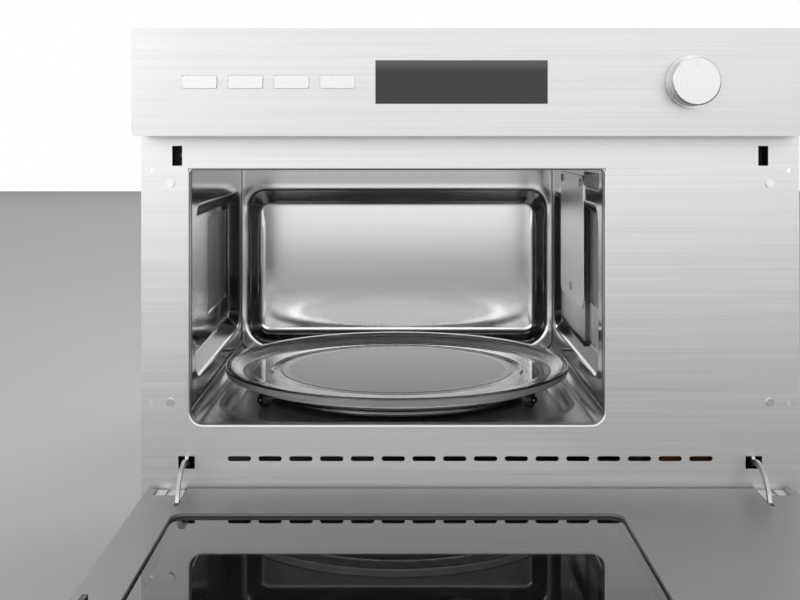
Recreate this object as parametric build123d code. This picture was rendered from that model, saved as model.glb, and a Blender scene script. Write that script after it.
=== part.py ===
from build123d import *
import os
from math import cos, hypot, radians, sin, sqrt

os.makedirs("parts", exist_ok=True)

# All sizes are in millimetres. X runs to the right, Y to the back, Z up.
# The origin is the centre of the base plate's underside, where the oven rests on its shelf.

# Face and casing
front_width = 595.0
front_lift = 2.0
front_corner = 3.0
front_overhang = 19.5
front_above_casing = 9.0
body_depth = 500.0
face_sheet = 1.2
liner_sheet = 1.0
casing_sheet = 0.8
casing_flange = 14.0
casing_flange_ends = (25.0, 8.0)
base_sheet = 1.0
base_flange = 15.0

# Cavity opening and liner
cavity_side_gap = 24.3
service_bay = 156.7
cavity_depth = 362.0
opening_z = 100.0
opening_height = 230.0
opening_corner = 12.0
opening_bend = 2.0
opening_flange = 8.0
relief_radius = 1.6
ceiling_rise = 15.0
back_corner = 4.0

# Pressed recess in each side wall
recess_depth = 12.0
recess_border = 13.0
recess_front_gap = 33.0
recess_rear_gap = 23.0
recess_drop = 35.0
recess_height = 161.5
recess_corner = 22.0
recess_inner_corner = 9.0
land_setback = 151.5
land_step = 4.4

# Pressed recess in the back wall
back_recess_depth = 20.0
back_recess_border = 18.5
back_recess_side_gap = 4.9
back_recess_height = 188.0
back_upper_corner = 22.0
back_lower_corner = 30.0
back_inner_corner = 8.0

# Sunk floor
floor_sink = 9.5
floor_border = 9.5
floor_side_gap = 16.5
floor_corner = 80.0
floor_inner_corner = 70.0
spindle_setback = 183.0
spindle_hole_radius = 8.0

# Perforated fields in the side walls
left_field_setback = 238.0
left_field_drop = 105.0
left_field_size = (122.0, 100.0)
right_field_setback = 121.0
right_field_drop = 93.0
right_field_size = (48.0, 94.0)
lamp_field_setback = 71.5
lamp_field_drop = 12.8
lamp_field_size = (87.0, 11.0)
field_hole_radius = 1.6
field_pitch = 8.0
lamp_field_pitch = 5.0

# Vent slots under the cavity
vent_count = 16
vent_margin = 74.86
vent_length = 21.1
vent_height = 4.5
vent_drop = 28.6

# Glass turntable and what turns it
plate_gap = 7.5
plate_floor_inset = 18.0
plate_foot_inset = 24.0
plate_height = 16.7
plate_glass = 5.5
plate_rim = 6.0
plate_step_inset = 49.0
plate_step = 0.8
plate_step_run = 3.0
plate_edge_bevel = 1.5
plate_rim_dip = 0.5
plate_rim_taper = (1.0, 2.0)
roller_radius = 7.5
roller_width = 8.0
roller_inset = 28.0
roller_axle_radius = 1.5
roller_bevel = 0.8
axle_cap = 3.0
roller_gap = 0.3
running_gap = 0.05
overrun = 1.0
ring_inset = 44.0
ring_width = 8.0
ring_height = 5.0
coupler_radius = 20.0
coupler_arm = 8.0
coupler_hub_radius = 9.0
coupler_base_gap = 3.0
lug_radius = 4.0
lug_circle = 16.5
lug_height = 5.0
motor_shaft_radius = 3.5
motor_radius = 25.0
motor_height = 18.0
motor_ear_length = 64.0
motor_ear_width = 14.0
motor_ear_sheet = 1.2
lug_angles = (30, 150, 270)
arm_angles = (90, 210, 330)
roller_angles = (-150, -30, 90)

# Waveguide, its cover, and the magnetron
cover_setback = 193.5
cover_length = 157.0
cover_height = 134.0
cover_top_drop = 9.5
cover_sheet = 1.0
cover_corner = 8.0
cover_gap = 0.2
clip_head_radius = 4.0
clip_shank_radius = 2.0
clip_head = 1.5
clip_inset = 14.0
port_setback = 203.0
port_drop = 77.0
port_size = (84.0, 40.0)
guide_length = 90.0
guide_height = 100.0
guide_depth = 38.0
guide_sheet = 1.0
antenna_clearance = 1.0
magnetron_drop = 34.0
magnetron_size = (66.0, 94.0, 80.0)
magnetron_sheet = 2.0
antenna_radius = 8.0
antenna_length = 30.0
fin_count = 8
fin_sheet = 1.0
fin_size = (80.0, 66.0)
filter_box_size = (26.0, 70.0, 60.0)

# High voltage supply
service_inset = 83.7
transformer_setback = 110.0
transformer_core_size = (96.0, 66.0, 78.0)
winding_bulge = 16.0
winding_height = 46.0
winding_width = 64.0
capacitor_setback = 232.0
capacitor_length = 100.0
capacitor_size = (34.0, 54.0)
capacitor_tab = (8.0, 6.0, 1.0)
capacitor_tab_offset = 12.0

# Cooling air
fan_drop = 40.0
fan_setback = 420.0
fan_radius = 58.0
fan_hub_radius = 16.0
fan_blade_count = 5
fan_blade_sheet = 1.6
fan_blade_angle = 35.0
fan_wheel_depth = 22.0
fan_tip_gap = 3.0
fan_shaft_radius = 2.5
fan_plate_width = 134.0
fan_plate_above = 68.0
fan_plate_sheet = 2.0
fan_ring_depth = 26.0
fan_motor_size = (56.0, 24.0, 60.0)
fan_strap_height = 12.0
fan_blade_root = 4.0
fan_blade_spare = 10.0
duct_wall = 1.5
duct_mouth = (124.0, 116.0)
duct_end = (72.0, 76.0)
exhaust_wall = 0.8
exhaust_margin = 14.0
exhaust_bottom = 80.0

# Lamp
lamp_radius = 10.0
lamp_length = 22.0
lamp_box = (44.0, 54.0, 34.0)
lamp_wall = 1.5
lamp_cap_radius = 7.0
lamp_seat = 1.0
lamp_collar = 2.0
lamp_collar_length = 6.0

# Door, described as it stands when closed
door_bottom = 23.0
door_head = 28.0
door_gap = 2.0
door_tray_rise = 3.0
door_tray_drop = 2.0
door_depth = 38.0
door_glass = 4.0
door_side_gap = 5.5
door_sheet = 1.2
door_window_inset = 7.5
door_window_corner = 10.0
door_collar = 1.2
door_screen_sheet = 0.8
inner_glass_overlap = (2.5, 5.0)
inner_glass_sheet = 3.0
inner_glass_corner = 12.0
choke_cover_depth = 6.0
choke_lip = 1.0
choke_corner = 6.0
choke_bevel = 2.0
fit_gap = 0.3
grip_height = 29.0
grip_gap = 1.0
grip_depth = 18.0
grip_wall = 3.0
grip_lip = 8.0
grip_sill = 4.0

# Door hinge
hinge_inset = 27.5
hinge_ahead = 12.0
hinge_z = 34.0
hinge_pin_radius = 4.0
hinge_pin_length = 20.0
hinge_block_width = 24.0
hinge_block_height = 25.0
hinge_block_depth = 26.0
hinge_block_behind = 8.0
hinge_swing_gap = 0.8
ear_sheet = 4.0
ear_gap = 0.3
ear_radius = 7.0
ear_height = 12.0
bracket_foot = (17.0, 3.0, 22.0)
bracket_foot_rise = 4.0
arm_radius = 34.0
arm_width = 5.0
arm_sheet = 3.0
arm_end_angle = 122.0
arm_hook_angle = 110.0
arm_hook_radius = 44.0
arm_slot_bottom = 60.0
arm_slot_width = 14.8
arm_curve_steps = 4

# Door latch and its switches
latch_inset = 32.5
latch_drop = 15.0
latch_pivot_inset = 14.0
latch_pin_radius = 2.0
hook_sheet = 4.0
hook_reach = 24.0
hook_height = 8.0
hook_tip = 4.0
hook_tip_length = 6.0
latch_slot = (9.0, 18.0)
housing_size = (14.0, 11.0, 22.0)
housing_slot = (5.0, 18.0)
housing_pin_seat = 1.0
holder_size = (20.0, 34.0, 34.0)
holder_wall = 3.0
switch_size = (8.0, 18.0, 10.0)
plunger_radius = 1.5
plunger_length = 12.0
plunger_travel = 2.0
plunger_gap = 1.0

# Control strip above the door
strip_height = 94.0
strip_gap = 3.0
fascia_sheet = 1.5
fascia_wall = 2.0
lens_ledge = 3.0
display_x = -10.0
display_size = (150.0, 38.0)
display_lens_sheet = 2.0
knob_x = 190.0
knob_radius = 21.0
knob_skirt_radius = 23.0
knob_height = 20.0
knob_shaft_radius = 3.0
knob_shaft_length = 20.0
knob_skirt = 4.0
knob_edge = 1.5
knob_mark = (1.2, 0.6, 7.0)
knob_mark_inset = 2.0
bearing_radius = 9.0
bearing_recess = 2.0
bearing_depth = 22.0
button_size = (30.0, 11.0)
button_proud = 1.5
button_travel = 1.2
button_stem = 12.0
button_stem_radius = 2.5
button_corner = 2.0
button_flange = 2.0
button_flange_gap = 0.1
button_post_radius = 5.0
button_gap = 0.35
button_first_x = -238.0
button_pitch = 40.0
button_count = 4
board_size = (180.0, 120.0)
board_sheet = 1.6
board_lift = 20.0
board_x = 60.0
board_setback = 150.0
standoff_radius = 3.0
standoff_inset = 8.0
board_relay = (34.0, 30.0, 24.0)
board_relay_place = (-40.0, 40.0)
board_part = (18.0, 28.0, 18.0)
board_part_count = 3
board_part_pitch = 24.0
board_part_place = (10.0, 24.0)

# Cabinet screws, rear panel and cord gland
mount_inset = 9.0
mount_height = 210.0
mount_z = 225.0
mount_hole_radius = 2.25
screw_head_radius = 3.6
screw_head = 1.5
screw_shank_radius = 1.7
screw_length = 9.0
frame_screw_inset = 7.0
frame_screw_z = (120.0, 318.0)
gland_x = -220.0
gland_z = 60.0
gland_bore_radius = 4.0
gland_radius = 8.0
gland_flange_radius = 12.0
gland_flange = 3.0
gland_length = 24.0
terminal_size = (46.0, 28.0, 26.0)
terminal_setback = 34.0
terminal_screws = 3
terminal_wall = 4.0
terminal_well = 10.0
terminal_screw_height = 5.0
rear_slot_count = 9
rear_slot_pitch = 9.0
rear_slot = (90.0, 4.0)
cutout_radius = 8.0
cutout_height = 7.0

# Places worked out from the sizes above
face_y = -body_depth / 2
rear_y = body_depth / 2
opening_top = opening_z + opening_height
door_top = opening_top + door_head
fascia_bottom = door_top + strip_gap
front_top = fascia_bottom + strip_height
body_width = front_width - 2 * front_overhang
body_height = front_top - front_above_casing
cavity_width = body_width - cavity_side_gap - service_bay
cavity_x = -body_width / 2 + cavity_side_gap + cavity_width / 2
opening_mid_z = opening_z + opening_height / 2
ceiling_z = opening_top + ceiling_rise
liner_y = face_y + opening_flange
back_y = face_y + cavity_depth
left_wall = cavity_x - cavity_width / 2
right_wall = cavity_x + cavity_width / 2
recess_length = cavity_depth - recess_front_gap - recess_rear_gap
recess_y = face_y + recess_front_gap + recess_length / 2
recess_z = opening_top - recess_drop - recess_height / 2
left_panel = left_wall - recess_depth
right_panel = right_wall + recess_depth
land_x = right_panel - land_step
left_field_z = opening_top - left_field_drop
right_field_z = opening_top - right_field_drop
lamp_field_z = opening_top - lamp_field_drop
floor_half = cavity_width / 2 - floor_side_gap
plate_radius = cavity_width / 2 - plate_gap
roller_track = plate_radius - roller_inset
ring_radius = plate_radius - ring_inset
spin_y = face_y + spindle_setback
sunk_z = opening_z - floor_sink
roller_z = sunk_z + roller_gap + roller_radius
plate_z = roller_z + roller_radius + roller_gap
inner_half_width = body_width / 2 - casing_sheet
inner_top = body_height - casing_sheet
door_inner_y = face_y - door_gap
door_outer_y = door_inner_y - door_depth
cover_face_y = door_inner_y - choke_cover_depth
tray_y = cover_face_y - door_sheet
door_window = (cavity_width - 2 * door_window_inset, opening_height - 2 * door_window_inset)
inner_glass = (cavity_width + 2 * inner_glass_overlap[0], opening_height + 2 * inner_glass_overlap[1])
grip_bottom = door_top - grip_height
hinge_x = front_width / 2 - hinge_inset
hinge_y = face_y - hinge_ahead
latch_x = front_width / 2 - latch_inset
latch_y = door_inner_y - latch_pivot_inset
latch_z = door_top - latch_drop
controls_z = fascia_bottom + strip_height / 2
mount_spacing = (front_width - 2 * mount_inset, mount_height)
frame_screw_x = body_width / 2 - frame_screw_inset
vent_pitch = (front_width - 2 * vent_margin) / vent_count
vent_z = opening_z - vent_drop - vent_height / 2
guide_x = land_x + liner_sheet
guide_out = guide_x + guide_depth
port_y = face_y + port_setback
port_z = opening_top - port_drop
magnetron_z = opening_top - magnetron_drop
service_x = right_wall + service_inset
fan_y = face_y + fan_setback
fan_z = opening_top - fan_drop


# Simple solids

def span(centre, size):
    return (centre - size / 2, centre + size / 2)


def block(x, y, z):
    # a box between the low and high value on each axis
    centre = Pos((x[0] + x[1]) / 2, (y[0] + y[1]) / 2, (z[0] + z[1]) / 2)
    return centre * Box(x[1] - x[0], y[1] - y[0], z[1] - z[0])


def past(reach):
    # a cut runs a little way out of both faces
    return (reach[0] - overrun, reach[1] + overrun)


def rod_x(x, y, z, radius):
    return Pos((x[0] + x[1]) / 2, y, z) * Rot(0, 90, 0) * Cylinder(radius, x[1] - x[0])


def rod_y(x, y, z, radius):
    return Pos(x, (y[0] + y[1]) / 2, z) * Rot(90, 0, 0) * Cylinder(radius, y[1] - y[0])


def rod_z(x, y, z, radius):
    return Pos(x, y, (z[0] + z[1]) / 2) * Cylinder(radius, z[1] - z[0])


def facing(x, y, z):
    # a sketch plane seen from the front: right is +X, sketch up is -Z, normal runs to the back
    return Plane(origin=(x, y, z), x_dir=(1, 0, 0), z_dir=(0, 1, 0))


def front_plate(x, y, z, corner):
    # an upright plate with rounded corners between the low and high values
    sketch = RectangleRounded(x[1] - x[0], z[1] - z[0], corner)
    place = facing((x[0] + x[1]) / 2, y[0], (z[0] + z[1]) / 2)
    return extrude(place * sketch, amount=y[1] - y[0])


def lower_rounded(width, height, upper, lower):
    # a rectangle on a facing plane, with its own radius at the top and at the bottom
    sketch = Rectangle(width, height)
    if upper > 0:
        sketch = fillet(sketch.vertices().group_by(Axis.Y)[0], upper)
    return fillet(sketch.vertices().group_by(Axis.Y)[-1], lower)


def both_sides(x):
    return (-x, x)


def opened(shape):
    # the door hangs a quarter turn forward about its hinge line
    return shape.rotate(Axis((0, hinge_y, hinge_z), (1, 0, 0)), 90)


def save(name, shape):
    export_step(shape, "parts/" + name + ".step")


# Cavity liner

def drafted(plane, mouth, tip, depth, border, grow):
    # a pressed recess: its mouth and its flat bottom joined by sloping sides
    lateral = grow * (hypot(depth, border) - border) / depth
    return loft([plane.offset(grow) * mouth(lateral), plane.offset(depth + grow) * tip(lateral)])


def side_recess(wall, side, grow):
    plane = Plane(origin=(wall, recess_y, recess_z), x_dir=(0, 1, 0), z_dir=(side, 0, 0))

    def mouth(extra):
        return RectangleRounded(
            recess_length + 2 * extra, recess_height + 2 * extra, recess_corner + extra)

    def tip(extra):
        return RectangleRounded(
            recess_length - 2 * recess_border + 2 * extra,
            recess_height - 2 * recess_border + 2 * extra,
            recess_inner_corner + extra)

    return drafted(plane, mouth, tip, recess_depth, recess_border, grow)


def waveguide_land(grow):
    # the rear part of the right recess is shallower, with a sloping step
    deep = right_panel + grow
    shallow = land_x + grow
    step_y = face_y + land_setback + grow * (sqrt(2) - 1)
    corners = [
        (shallow, step_y + land_step),
        (shallow, back_y),
        (deep + overrun, back_y),
        (deep + overrun, step_y - overrun),
    ]
    outline = Plane.XY.offset(opening_z) * make_face(Polyline(*corners, close=True))
    return extrude(outline, amount=opening_height)


def floor_recess(grow):
    plane = Plane(origin=(cavity_x, spin_y, opening_z), x_dir=(1, 0, 0), z_dir=(0, 0, -1))

    def mouth(extra):
        return RectangleRounded(
            2 * (floor_half + extra), 2 * (floor_half + extra), floor_corner + extra)

    def tip(extra):
        half = floor_half - floor_border + extra
        return RectangleRounded(2 * half, 2 * half, floor_inner_corner + extra)

    return drafted(plane, mouth, tip, floor_sink, floor_border, grow)


def back_recess(grow):
    top = opening_top - recess_drop
    plane = facing(cavity_x, back_y, top - back_recess_height / 2)
    width = cavity_width - 2 * back_recess_side_gap

    def mouth(extra):
        return lower_rounded(
            width + 2 * extra, back_recess_height + 2 * extra,
            back_upper_corner + extra, back_lower_corner + extra)

    def tip(extra):
        return lower_rounded(
            width - 2 * back_recess_border + 2 * extra,
            back_recess_height - 2 * back_recess_border + 2 * extra,
            back_inner_corner + extra, back_inner_corner + extra)

    return drafted(plane, mouth, tip, back_recess_depth, back_recess_border, grow)


def cavity_hollow(grow):
    # the cooking space, grown outwards by one wall when it makes the liner's outside
    width = cavity_width + 2 * grow
    height = opening_height + ceiling_rise + 2 * grow
    middle = (opening_z + ceiling_z) / 2
    section = facing(cavity_x, liner_y, middle) * lower_rounded(width, height, 0, opening_corner + grow)
    run = extrude(section, amount=back_y + grow - liner_y)
    plan = Rectangle(width, back_y + grow - liner_y)
    plan = fillet(plan.vertices().group_by(Axis.Y)[-1], back_corner + grow)
    plan = Pos(cavity_x, (liner_y + back_y + grow) / 2, opening_z - grow) * plan
    space = run & extrude(plan, amount=height)
    right = side_recess(right_wall, 1, grow) - waveguide_land(grow)
    return space + side_recess(left_wall, -1, grow) + right + floor_recess(grow) + back_recess(grow)


def perforated(plane, size, pitch):
    # a flat screen with a grid of round holes
    columns = int((size[0] - pitch / 2) // pitch)
    rows = max(int((size[1] - pitch / 2) // pitch), 1)
    holes = GridLocations(pitch, pitch, columns, rows) * Circle(field_hole_radius)
    return extrude(plane * (Rectangle(*size) - holes), amount=liner_sheet)


def field_plane(x, setback, z, side):
    return Plane(origin=(x, face_y + setback, z), x_dir=(0, 1, 0), z_dir=(side, 0, 0))


def field_window(x, setback, z, size):
    reach = span(x, 4 * liner_sheet)
    return block(reach, span(face_y + setback, size[0]), span(z, size[1]))


def clip_places():
    # the cover's two upper clips sit on the wall, its lower one on the land
    top = opening_top - cover_top_drop
    low = top - cover_height
    reach = cover_length / 2 - clip_inset
    middle = face_y + cover_setback
    return [
        (middle - reach, top - clip_inset / 2, right_wall),
        (middle + reach, top - clip_inset / 2, right_wall),
        (middle, low + clip_inset, land_x),
    ]


def liner():
    shell = cavity_hollow(liner_sheet) - cavity_hollow(0)
    windows = [
        field_window(left_panel, left_field_setback, left_field_z, left_field_size),
        field_window(right_panel, right_field_setback, right_field_z, right_field_size),
        field_window(right_wall, lamp_field_setback, lamp_field_z, lamp_field_size),
        field_window(land_x, port_setback, port_z, port_size),
        rod_z(cavity_x, spin_y, span(sunk_z, 4 * liner_sheet), spindle_hole_radius),
    ]
    for y, z, wall in clip_places():
        windows.append(rod_x(span(wall, 4 * liner_sheet), y, z, clip_shank_radius + running_gap))
    return shell - windows


def liner_pieces():
    shell = liner()
    reach = (-body_width, body_width)
    join_y = back_y - back_corner - liner_sheet
    above = block(reach, (face_y, rear_y), (ceiling_z, body_height))
    behind = block(reach, (join_y, rear_y), (0, ceiling_z))
    ahead = block(reach, (face_y, join_y), (0, ceiling_z))
    save("cavity_wrap", shell & ahead)
    save("cavity_back", shell & behind)
    save("cavity_ceiling", shell & above)


def screens():
    left = perforated(
        field_plane(left_panel, left_field_setback, left_field_z, -1), left_field_size, field_pitch)
    front = perforated(
        field_plane(right_panel, right_field_setback, right_field_z, 1), right_field_size, field_pitch)
    lamp = perforated(
        field_plane(right_wall, lamp_field_setback, lamp_field_z, 1), lamp_field_size, lamp_field_pitch)
    save("left_vent_screen", left)
    save("right_vent_screens", Compound([front.solid(), lamp.solid()]))


def waveguide_cover():
    top = opening_top - cover_top_drop
    plane = Plane(
        origin=(right_wall - cover_gap - cover_sheet, face_y + cover_setback, top - cover_height / 2),
        x_dir=(0, 1, 0), z_dir=(1, 0, 0))
    sheet = extrude(plane * RectangleRounded(cover_length, cover_height, cover_corner), amount=cover_sheet)
    clips = []
    inner = right_wall - cover_gap - cover_sheet
    for y, z, wall in clip_places():
        sheet -= rod_x(past((inner, inner + cover_sheet)), y, z, clip_shank_radius + running_gap)
        shank = rod_x((inner - clip_head, wall + liner_sheet), y, z, clip_shank_radius)
        head = rod_x((inner - clip_head, inner), y, z, clip_head_radius)
        clips.append((shank + head).solid())
    save("waveguide_cover", sheet)
    save("waveguide_cover_clips", Compound(clips))


# Face of the oven

def opening_tube(grow, y):
    section = lower_rounded(
        cavity_width + 2 * grow, opening_height + 2 * grow, 0, opening_corner + grow)
    return extrude(facing(cavity_x, y[0], opening_mid_z) * section, amount=y[1] - y[0])


def in_opening(edge):
    middle = edge.center()
    across = abs(middle.X - cavity_x) < cavity_width / 2 + overrun
    return across and abs(middle.Z - opening_mid_z) < opening_height / 2 + overrun


def front_slots():
    # every opening in the face sheet other than the cavity itself
    cuts = []
    row = GridLocations(vent_pitch, 1, vent_count, 1) * SlotOverall(vent_length, vent_height)
    through = past((face_y, face_y + face_sheet))
    place = facing(0, through[0], vent_z)
    for slot in row:
        cuts.append(extrude(place * slot, amount=through[1] - through[0]))
    arm_x = hinge_x - hinge_block_width / 2 - arm_sheet / 2
    arm_slot_top = vent_z + vent_height / 2
    for side in (-1, 1):
        cuts.append(block(span(side * arm_x, arm_slot_width), through, (arm_slot_bottom, arm_slot_top)))
        cuts.append(block(span(side * hinge_x, ear_sheet + 2 * ear_gap), through,
                          span(hinge_z, ear_height + 2 * ear_gap)))
        cuts.append(block(span(side * latch_x, latch_slot[0]), through, span(latch_z, latch_slot[1])))
        cuts.append(rod_y(cavity_x + side * cavity_width / 2, through, opening_top, relief_radius))
        for z in span(mount_z, mount_spacing[1]):
            cuts.append(rod_y(side * mount_spacing[0] / 2, through, z, mount_hole_radius))
        for z in frame_screw_z:
            cuts.append(rod_y(side * frame_screw_x, through, z, screw_shank_radius + running_gap))
    return cuts


def front_frame():
    z = (front_lift, front_top)
    sheet = front_plate(both_sides(front_width / 2), (face_y, face_y + face_sheet), z, front_corner)
    collar = opening_tube(face_sheet, (face_y, face_y + opening_flange))
    frame = sheet + collar - opening_tube(0, past((face_y, liner_y)))
    rim = frame.edges().filter_by_position(Axis.Y, face_y - 0.01, face_y + 0.01).filter_by(in_opening)
    frame = fillet(rim, opening_bend)
    save("front_frame", frame - front_slots())


def casing():
    half = body_width / 2
    y = (face_y + face_sheet, rear_y)
    wrap = block(both_sides(half), y, (0, body_height))
    wrap -= block(both_sides(half - casing_sheet), past(y), (-overrun, inner_top))
    flange_y = (y[0], y[0] + casing_sheet)
    low = frame_screw_z[0] - casing_flange_ends[0]
    high = frame_screw_z[1] + casing_flange_ends[1]
    for side in (-1, 1):
        edges = sorted((side * (half - casing_sheet), side * (half - casing_flange)))
        wrap += block(edges, flange_y, (low, high))
        for z in frame_screw_z:
            wrap -= rod_y(side * frame_screw_x, past(flange_y), z, screw_shank_radius + running_gap)
    wrap += block(both_sides(half - casing_sheet), flange_y, (body_height - casing_flange, inner_top))
    save("casing_wrap", wrap)


def base_plate():
    half = inner_half_width
    y = (face_y + face_sheet, rear_y)
    plate = block(both_sides(half), y, (0, base_sheet))
    for side in (-1, 1):
        edges = sorted((side * (half - base_sheet), side * half))
        plate += block(edges, y, (0, base_flange))
    plate += block(both_sides(half), (y[0], y[0] + base_sheet), (0, base_flange))
    save("base_plate", plate)


def rear_panel():
    y = (rear_y - casing_sheet, rear_y)
    half = inner_half_width - base_sheet
    panel = block(both_sides(half), y, (base_sheet, inner_top))
    through = past(y)
    for x, z in ((service_x, fan_z), (-service_x, fan_z - rear_slot_pitch)):
        grid = GridLocations(1, rear_slot_pitch, 1, rear_slot_count) * SlotOverall(*rear_slot)
        for slot in grid:
            panel -= extrude(facing(x, through[0], z) * slot, amount=through[1] - through[0])
    panel -= rod_y(gland_x, through, gland_z, gland_radius + running_gap)
    for side in (-1, 1):
        for z in (base_flange, inner_top - base_flange):
            panel -= rod_y(side * (half - base_flange), through, z, screw_shank_radius + running_gap)
    save("rear_panel", panel)


def screw(x, y, z):
    # a pan-head screw whose head bears on y and whose shank runs to the back of it
    shank = rod_y(x, (y, y + screw_length), z, screw_shank_radius)
    return (rod_y(x, (y - screw_head, y), z, screw_head_radius) + shank).solid()


def case_screws():
    screws = []
    half = inner_half_width - base_sheet
    for side in (-1, 1):
        for z in frame_screw_z:
            screws.append(screw(side * frame_screw_x, face_y, z))
        for z in (base_flange, inner_top - base_flange):
            turned = screw(side * (half - base_flange), -rear_y, z)
            screws.append(turned.mirror(Plane.XZ))
    save("case_screws", Compound(screws))


def cord_gland():
    y = (rear_y - gland_length / 2, rear_y + gland_length / 2)
    gland = rod_y(gland_x, y, gland_z, gland_radius)
    gland += rod_y(gland_x, (rear_y, rear_y + gland_flange), gland_z, gland_flange_radius)
    save("cord_gland", gland - rod_y(gland_x, past(y), gland_z, gland_bore_radius))


def terminal_block():
    # where the mains leads would be joined, just inside the cord gland
    width, depth, height = terminal_size
    y = (rear_y - terminal_setback - depth, rear_y - terminal_setback)
    top = base_sheet + height
    terminal = block(span(gland_x, width), y, (base_sheet, top))
    pitch = width / terminal_screws
    floor = top - terminal_well
    for step in range(terminal_screws):
        x = gland_x + (step - (terminal_screws - 1) / 2) * pitch
        terminal -= block(
            span(x, pitch - terminal_wall), (y[0] + terminal_wall, y[1] + overrun), (floor, top + overrun))
        terminal += rod_z(x, (y[0] + y[1]) / 2, (floor - overrun, floor + terminal_screw_height - overrun),
                          screw_head_radius)
    save("terminal_block", terminal)


# Turntable

def plate_section():
    # half of the plate's section, from its axis to its rolled rim
    top = plate_z + plate_height
    floor = plate_z + plate_glass
    rim_in = plate_radius - plate_rim
    step_radius = plate_radius - plate_step_inset
    outline = Polyline(
        (0, plate_z),
        (plate_radius - plate_foot_inset, plate_z),
        (plate_radius - plate_rim_taper[0], top - plate_rim),
        (plate_radius, top - plate_rim + plate_rim_taper[1]),
        (plate_radius, top - plate_edge_bevel),
        (plate_radius - plate_edge_bevel, top),
        (rim_in, top - plate_rim_dip),
        (plate_radius - plate_floor_inset, floor),
        (step_radius, floor),
        (step_radius - plate_step_run, floor + plate_step),
        (0, floor + plate_step),
        close=True)
    return make_face(Plane.XZ * outline)


def turntable_glass():
    place = Pos(cavity_x, spin_y, 0)
    plate = revolve(plate_section(), Axis.Z)
    for angle in lug_angles:
        lug = rod_z(lug_circle, 0, (plate_z - lug_height, plate_z + overrun), lug_radius)
        plate += Rot(0, 0, angle) * lug
    save("turntable_glass", place * plate)


def drive_coupler():
    top = plate_z - roller_gap
    bottom = sunk_z + coupler_base_gap
    arm = block((0, coupler_radius), span(0, coupler_arm), (bottom, top))
    star = rod_z(0, 0, (bottom, top), coupler_hub_radius)
    for angle in arm_angles:
        star += Rot(0, 0, angle) * arm
    for angle in lug_angles:
        pocket = rod_z(lug_circle, 0, past((bottom, top)), lug_radius + roller_gap)
        star -= Rot(0, 0, angle) * pocket
    motor_top = sunk_z - liner_sheet
    star += rod_z(0, 0, (motor_top - motor_height / 2, bottom + overrun), motor_shaft_radius)
    save("drive_coupler", Pos(cavity_x, spin_y, 0) * star)


def turntable_motor():
    top = sunk_z - liner_sheet
    can = rod_z(0, 0, (top - motor_height, top), motor_radius)
    ears = block(span(0, motor_ear_length), span(0, motor_ear_width), (top - motor_ear_sheet, top))
    bore = rod_z(0, 0, (top - motor_height / 2 - roller_gap, top + overrun), motor_shaft_radius + running_gap)
    save("turntable_motor", Pos(cavity_x, spin_y, 0) * (can + ears - bore))


def roller_ring():
    half = ring_height / 2
    ring = rod_z(0, 0, (-half, half), ring_radius + ring_width / 2)
    ring -= rod_z(0, 0, past((-half, half)), ring_radius - ring_width / 2)
    reach = roller_track + roller_width / 2 + roller_gap
    for angle in roller_angles:
        axle = rod_x((ring_radius, reach + axle_cap), 0, 0, roller_axle_radius)
        cap = rod_x((reach, reach + axle_cap), 0, 0, 2 * roller_axle_radius)
        ring += Rot(0, 0, angle) * (axle + cap)
    save("roller_ring", Pos(cavity_x, spin_y, roller_z) * ring)


def rollers():
    for number, angle in enumerate(roller_angles, 1):
        wheel = rod_x(span(roller_track, roller_width), 0, 0, roller_radius)
        wheel = chamfer(wheel.edges().filter_by(GeomType.CIRCLE), roller_bevel)
        wheel -= rod_x(span(roller_track, 2 * roller_width), 0, 0, roller_axle_radius + running_gap)
        place = Pos(cavity_x, spin_y, roller_z) * Rot(0, 0, angle)
        save("roller_" + str(number), place * wheel)


# Microwave supply

def waveguide():
    y = span(port_y, guide_length)
    z = (port_z - guide_height / 4, port_z + 3 * guide_height / 4)
    tube = block((guide_x, guide_out), y, z)
    wall = guide_sheet
    tube -= block((guide_x + wall, guide_out - wall), (y[0] + wall, y[1] - wall), (z[0] + wall, z[1] - wall))
    tube -= block(past((guide_x, guide_x + wall)), span(port_y, port_size[0]), span(port_z, port_size[1]))
    outer_wall = past((guide_out - wall, guide_out))
    tube -= rod_x(outer_wall, port_y, magnetron_z, antenna_radius + antenna_clearance)
    save("waveguide", tube)


def magnetron():
    length, width, height = magnetron_size
    x = (guide_out, guide_out + length)
    y = span(port_y, width)
    z = span(magnetron_z, height)
    yoke = block(x, y, z)
    yoke -= block((x[0] + magnetron_sheet, x[1] - magnetron_sheet), past(y),
                  (z[0] + magnetron_sheet, z[1] - magnetron_sheet))
    antenna = rod_x((x[0] - antenna_length, x[0] + overrun), port_y, magnetron_z, antenna_radius)
    save("magnetron", yoke + antenna)
    tube_radius = antenna_radius * 2
    anode = rod_x((x[0] + magnetron_sheet, x[1] - magnetron_sheet), port_y, magnetron_z, tube_radius)
    pitch = (length - 2 * magnetron_sheet) / (fin_count + 1)
    for step in range(fin_count):
        fin_x = x[0] + magnetron_sheet + (step + 1) * pitch
        anode += block(span(fin_x, fin_sheet), span(port_y, fin_size[0]), span(magnetron_z, fin_size[1]))
    save("magnetron_fins", anode)
    box = block((x[1], x[1] + filter_box_size[0]), span(port_y, filter_box_size[1]),
                span(magnetron_z, filter_box_size[2]))
    save("magnetron_filter_box", box)


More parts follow.
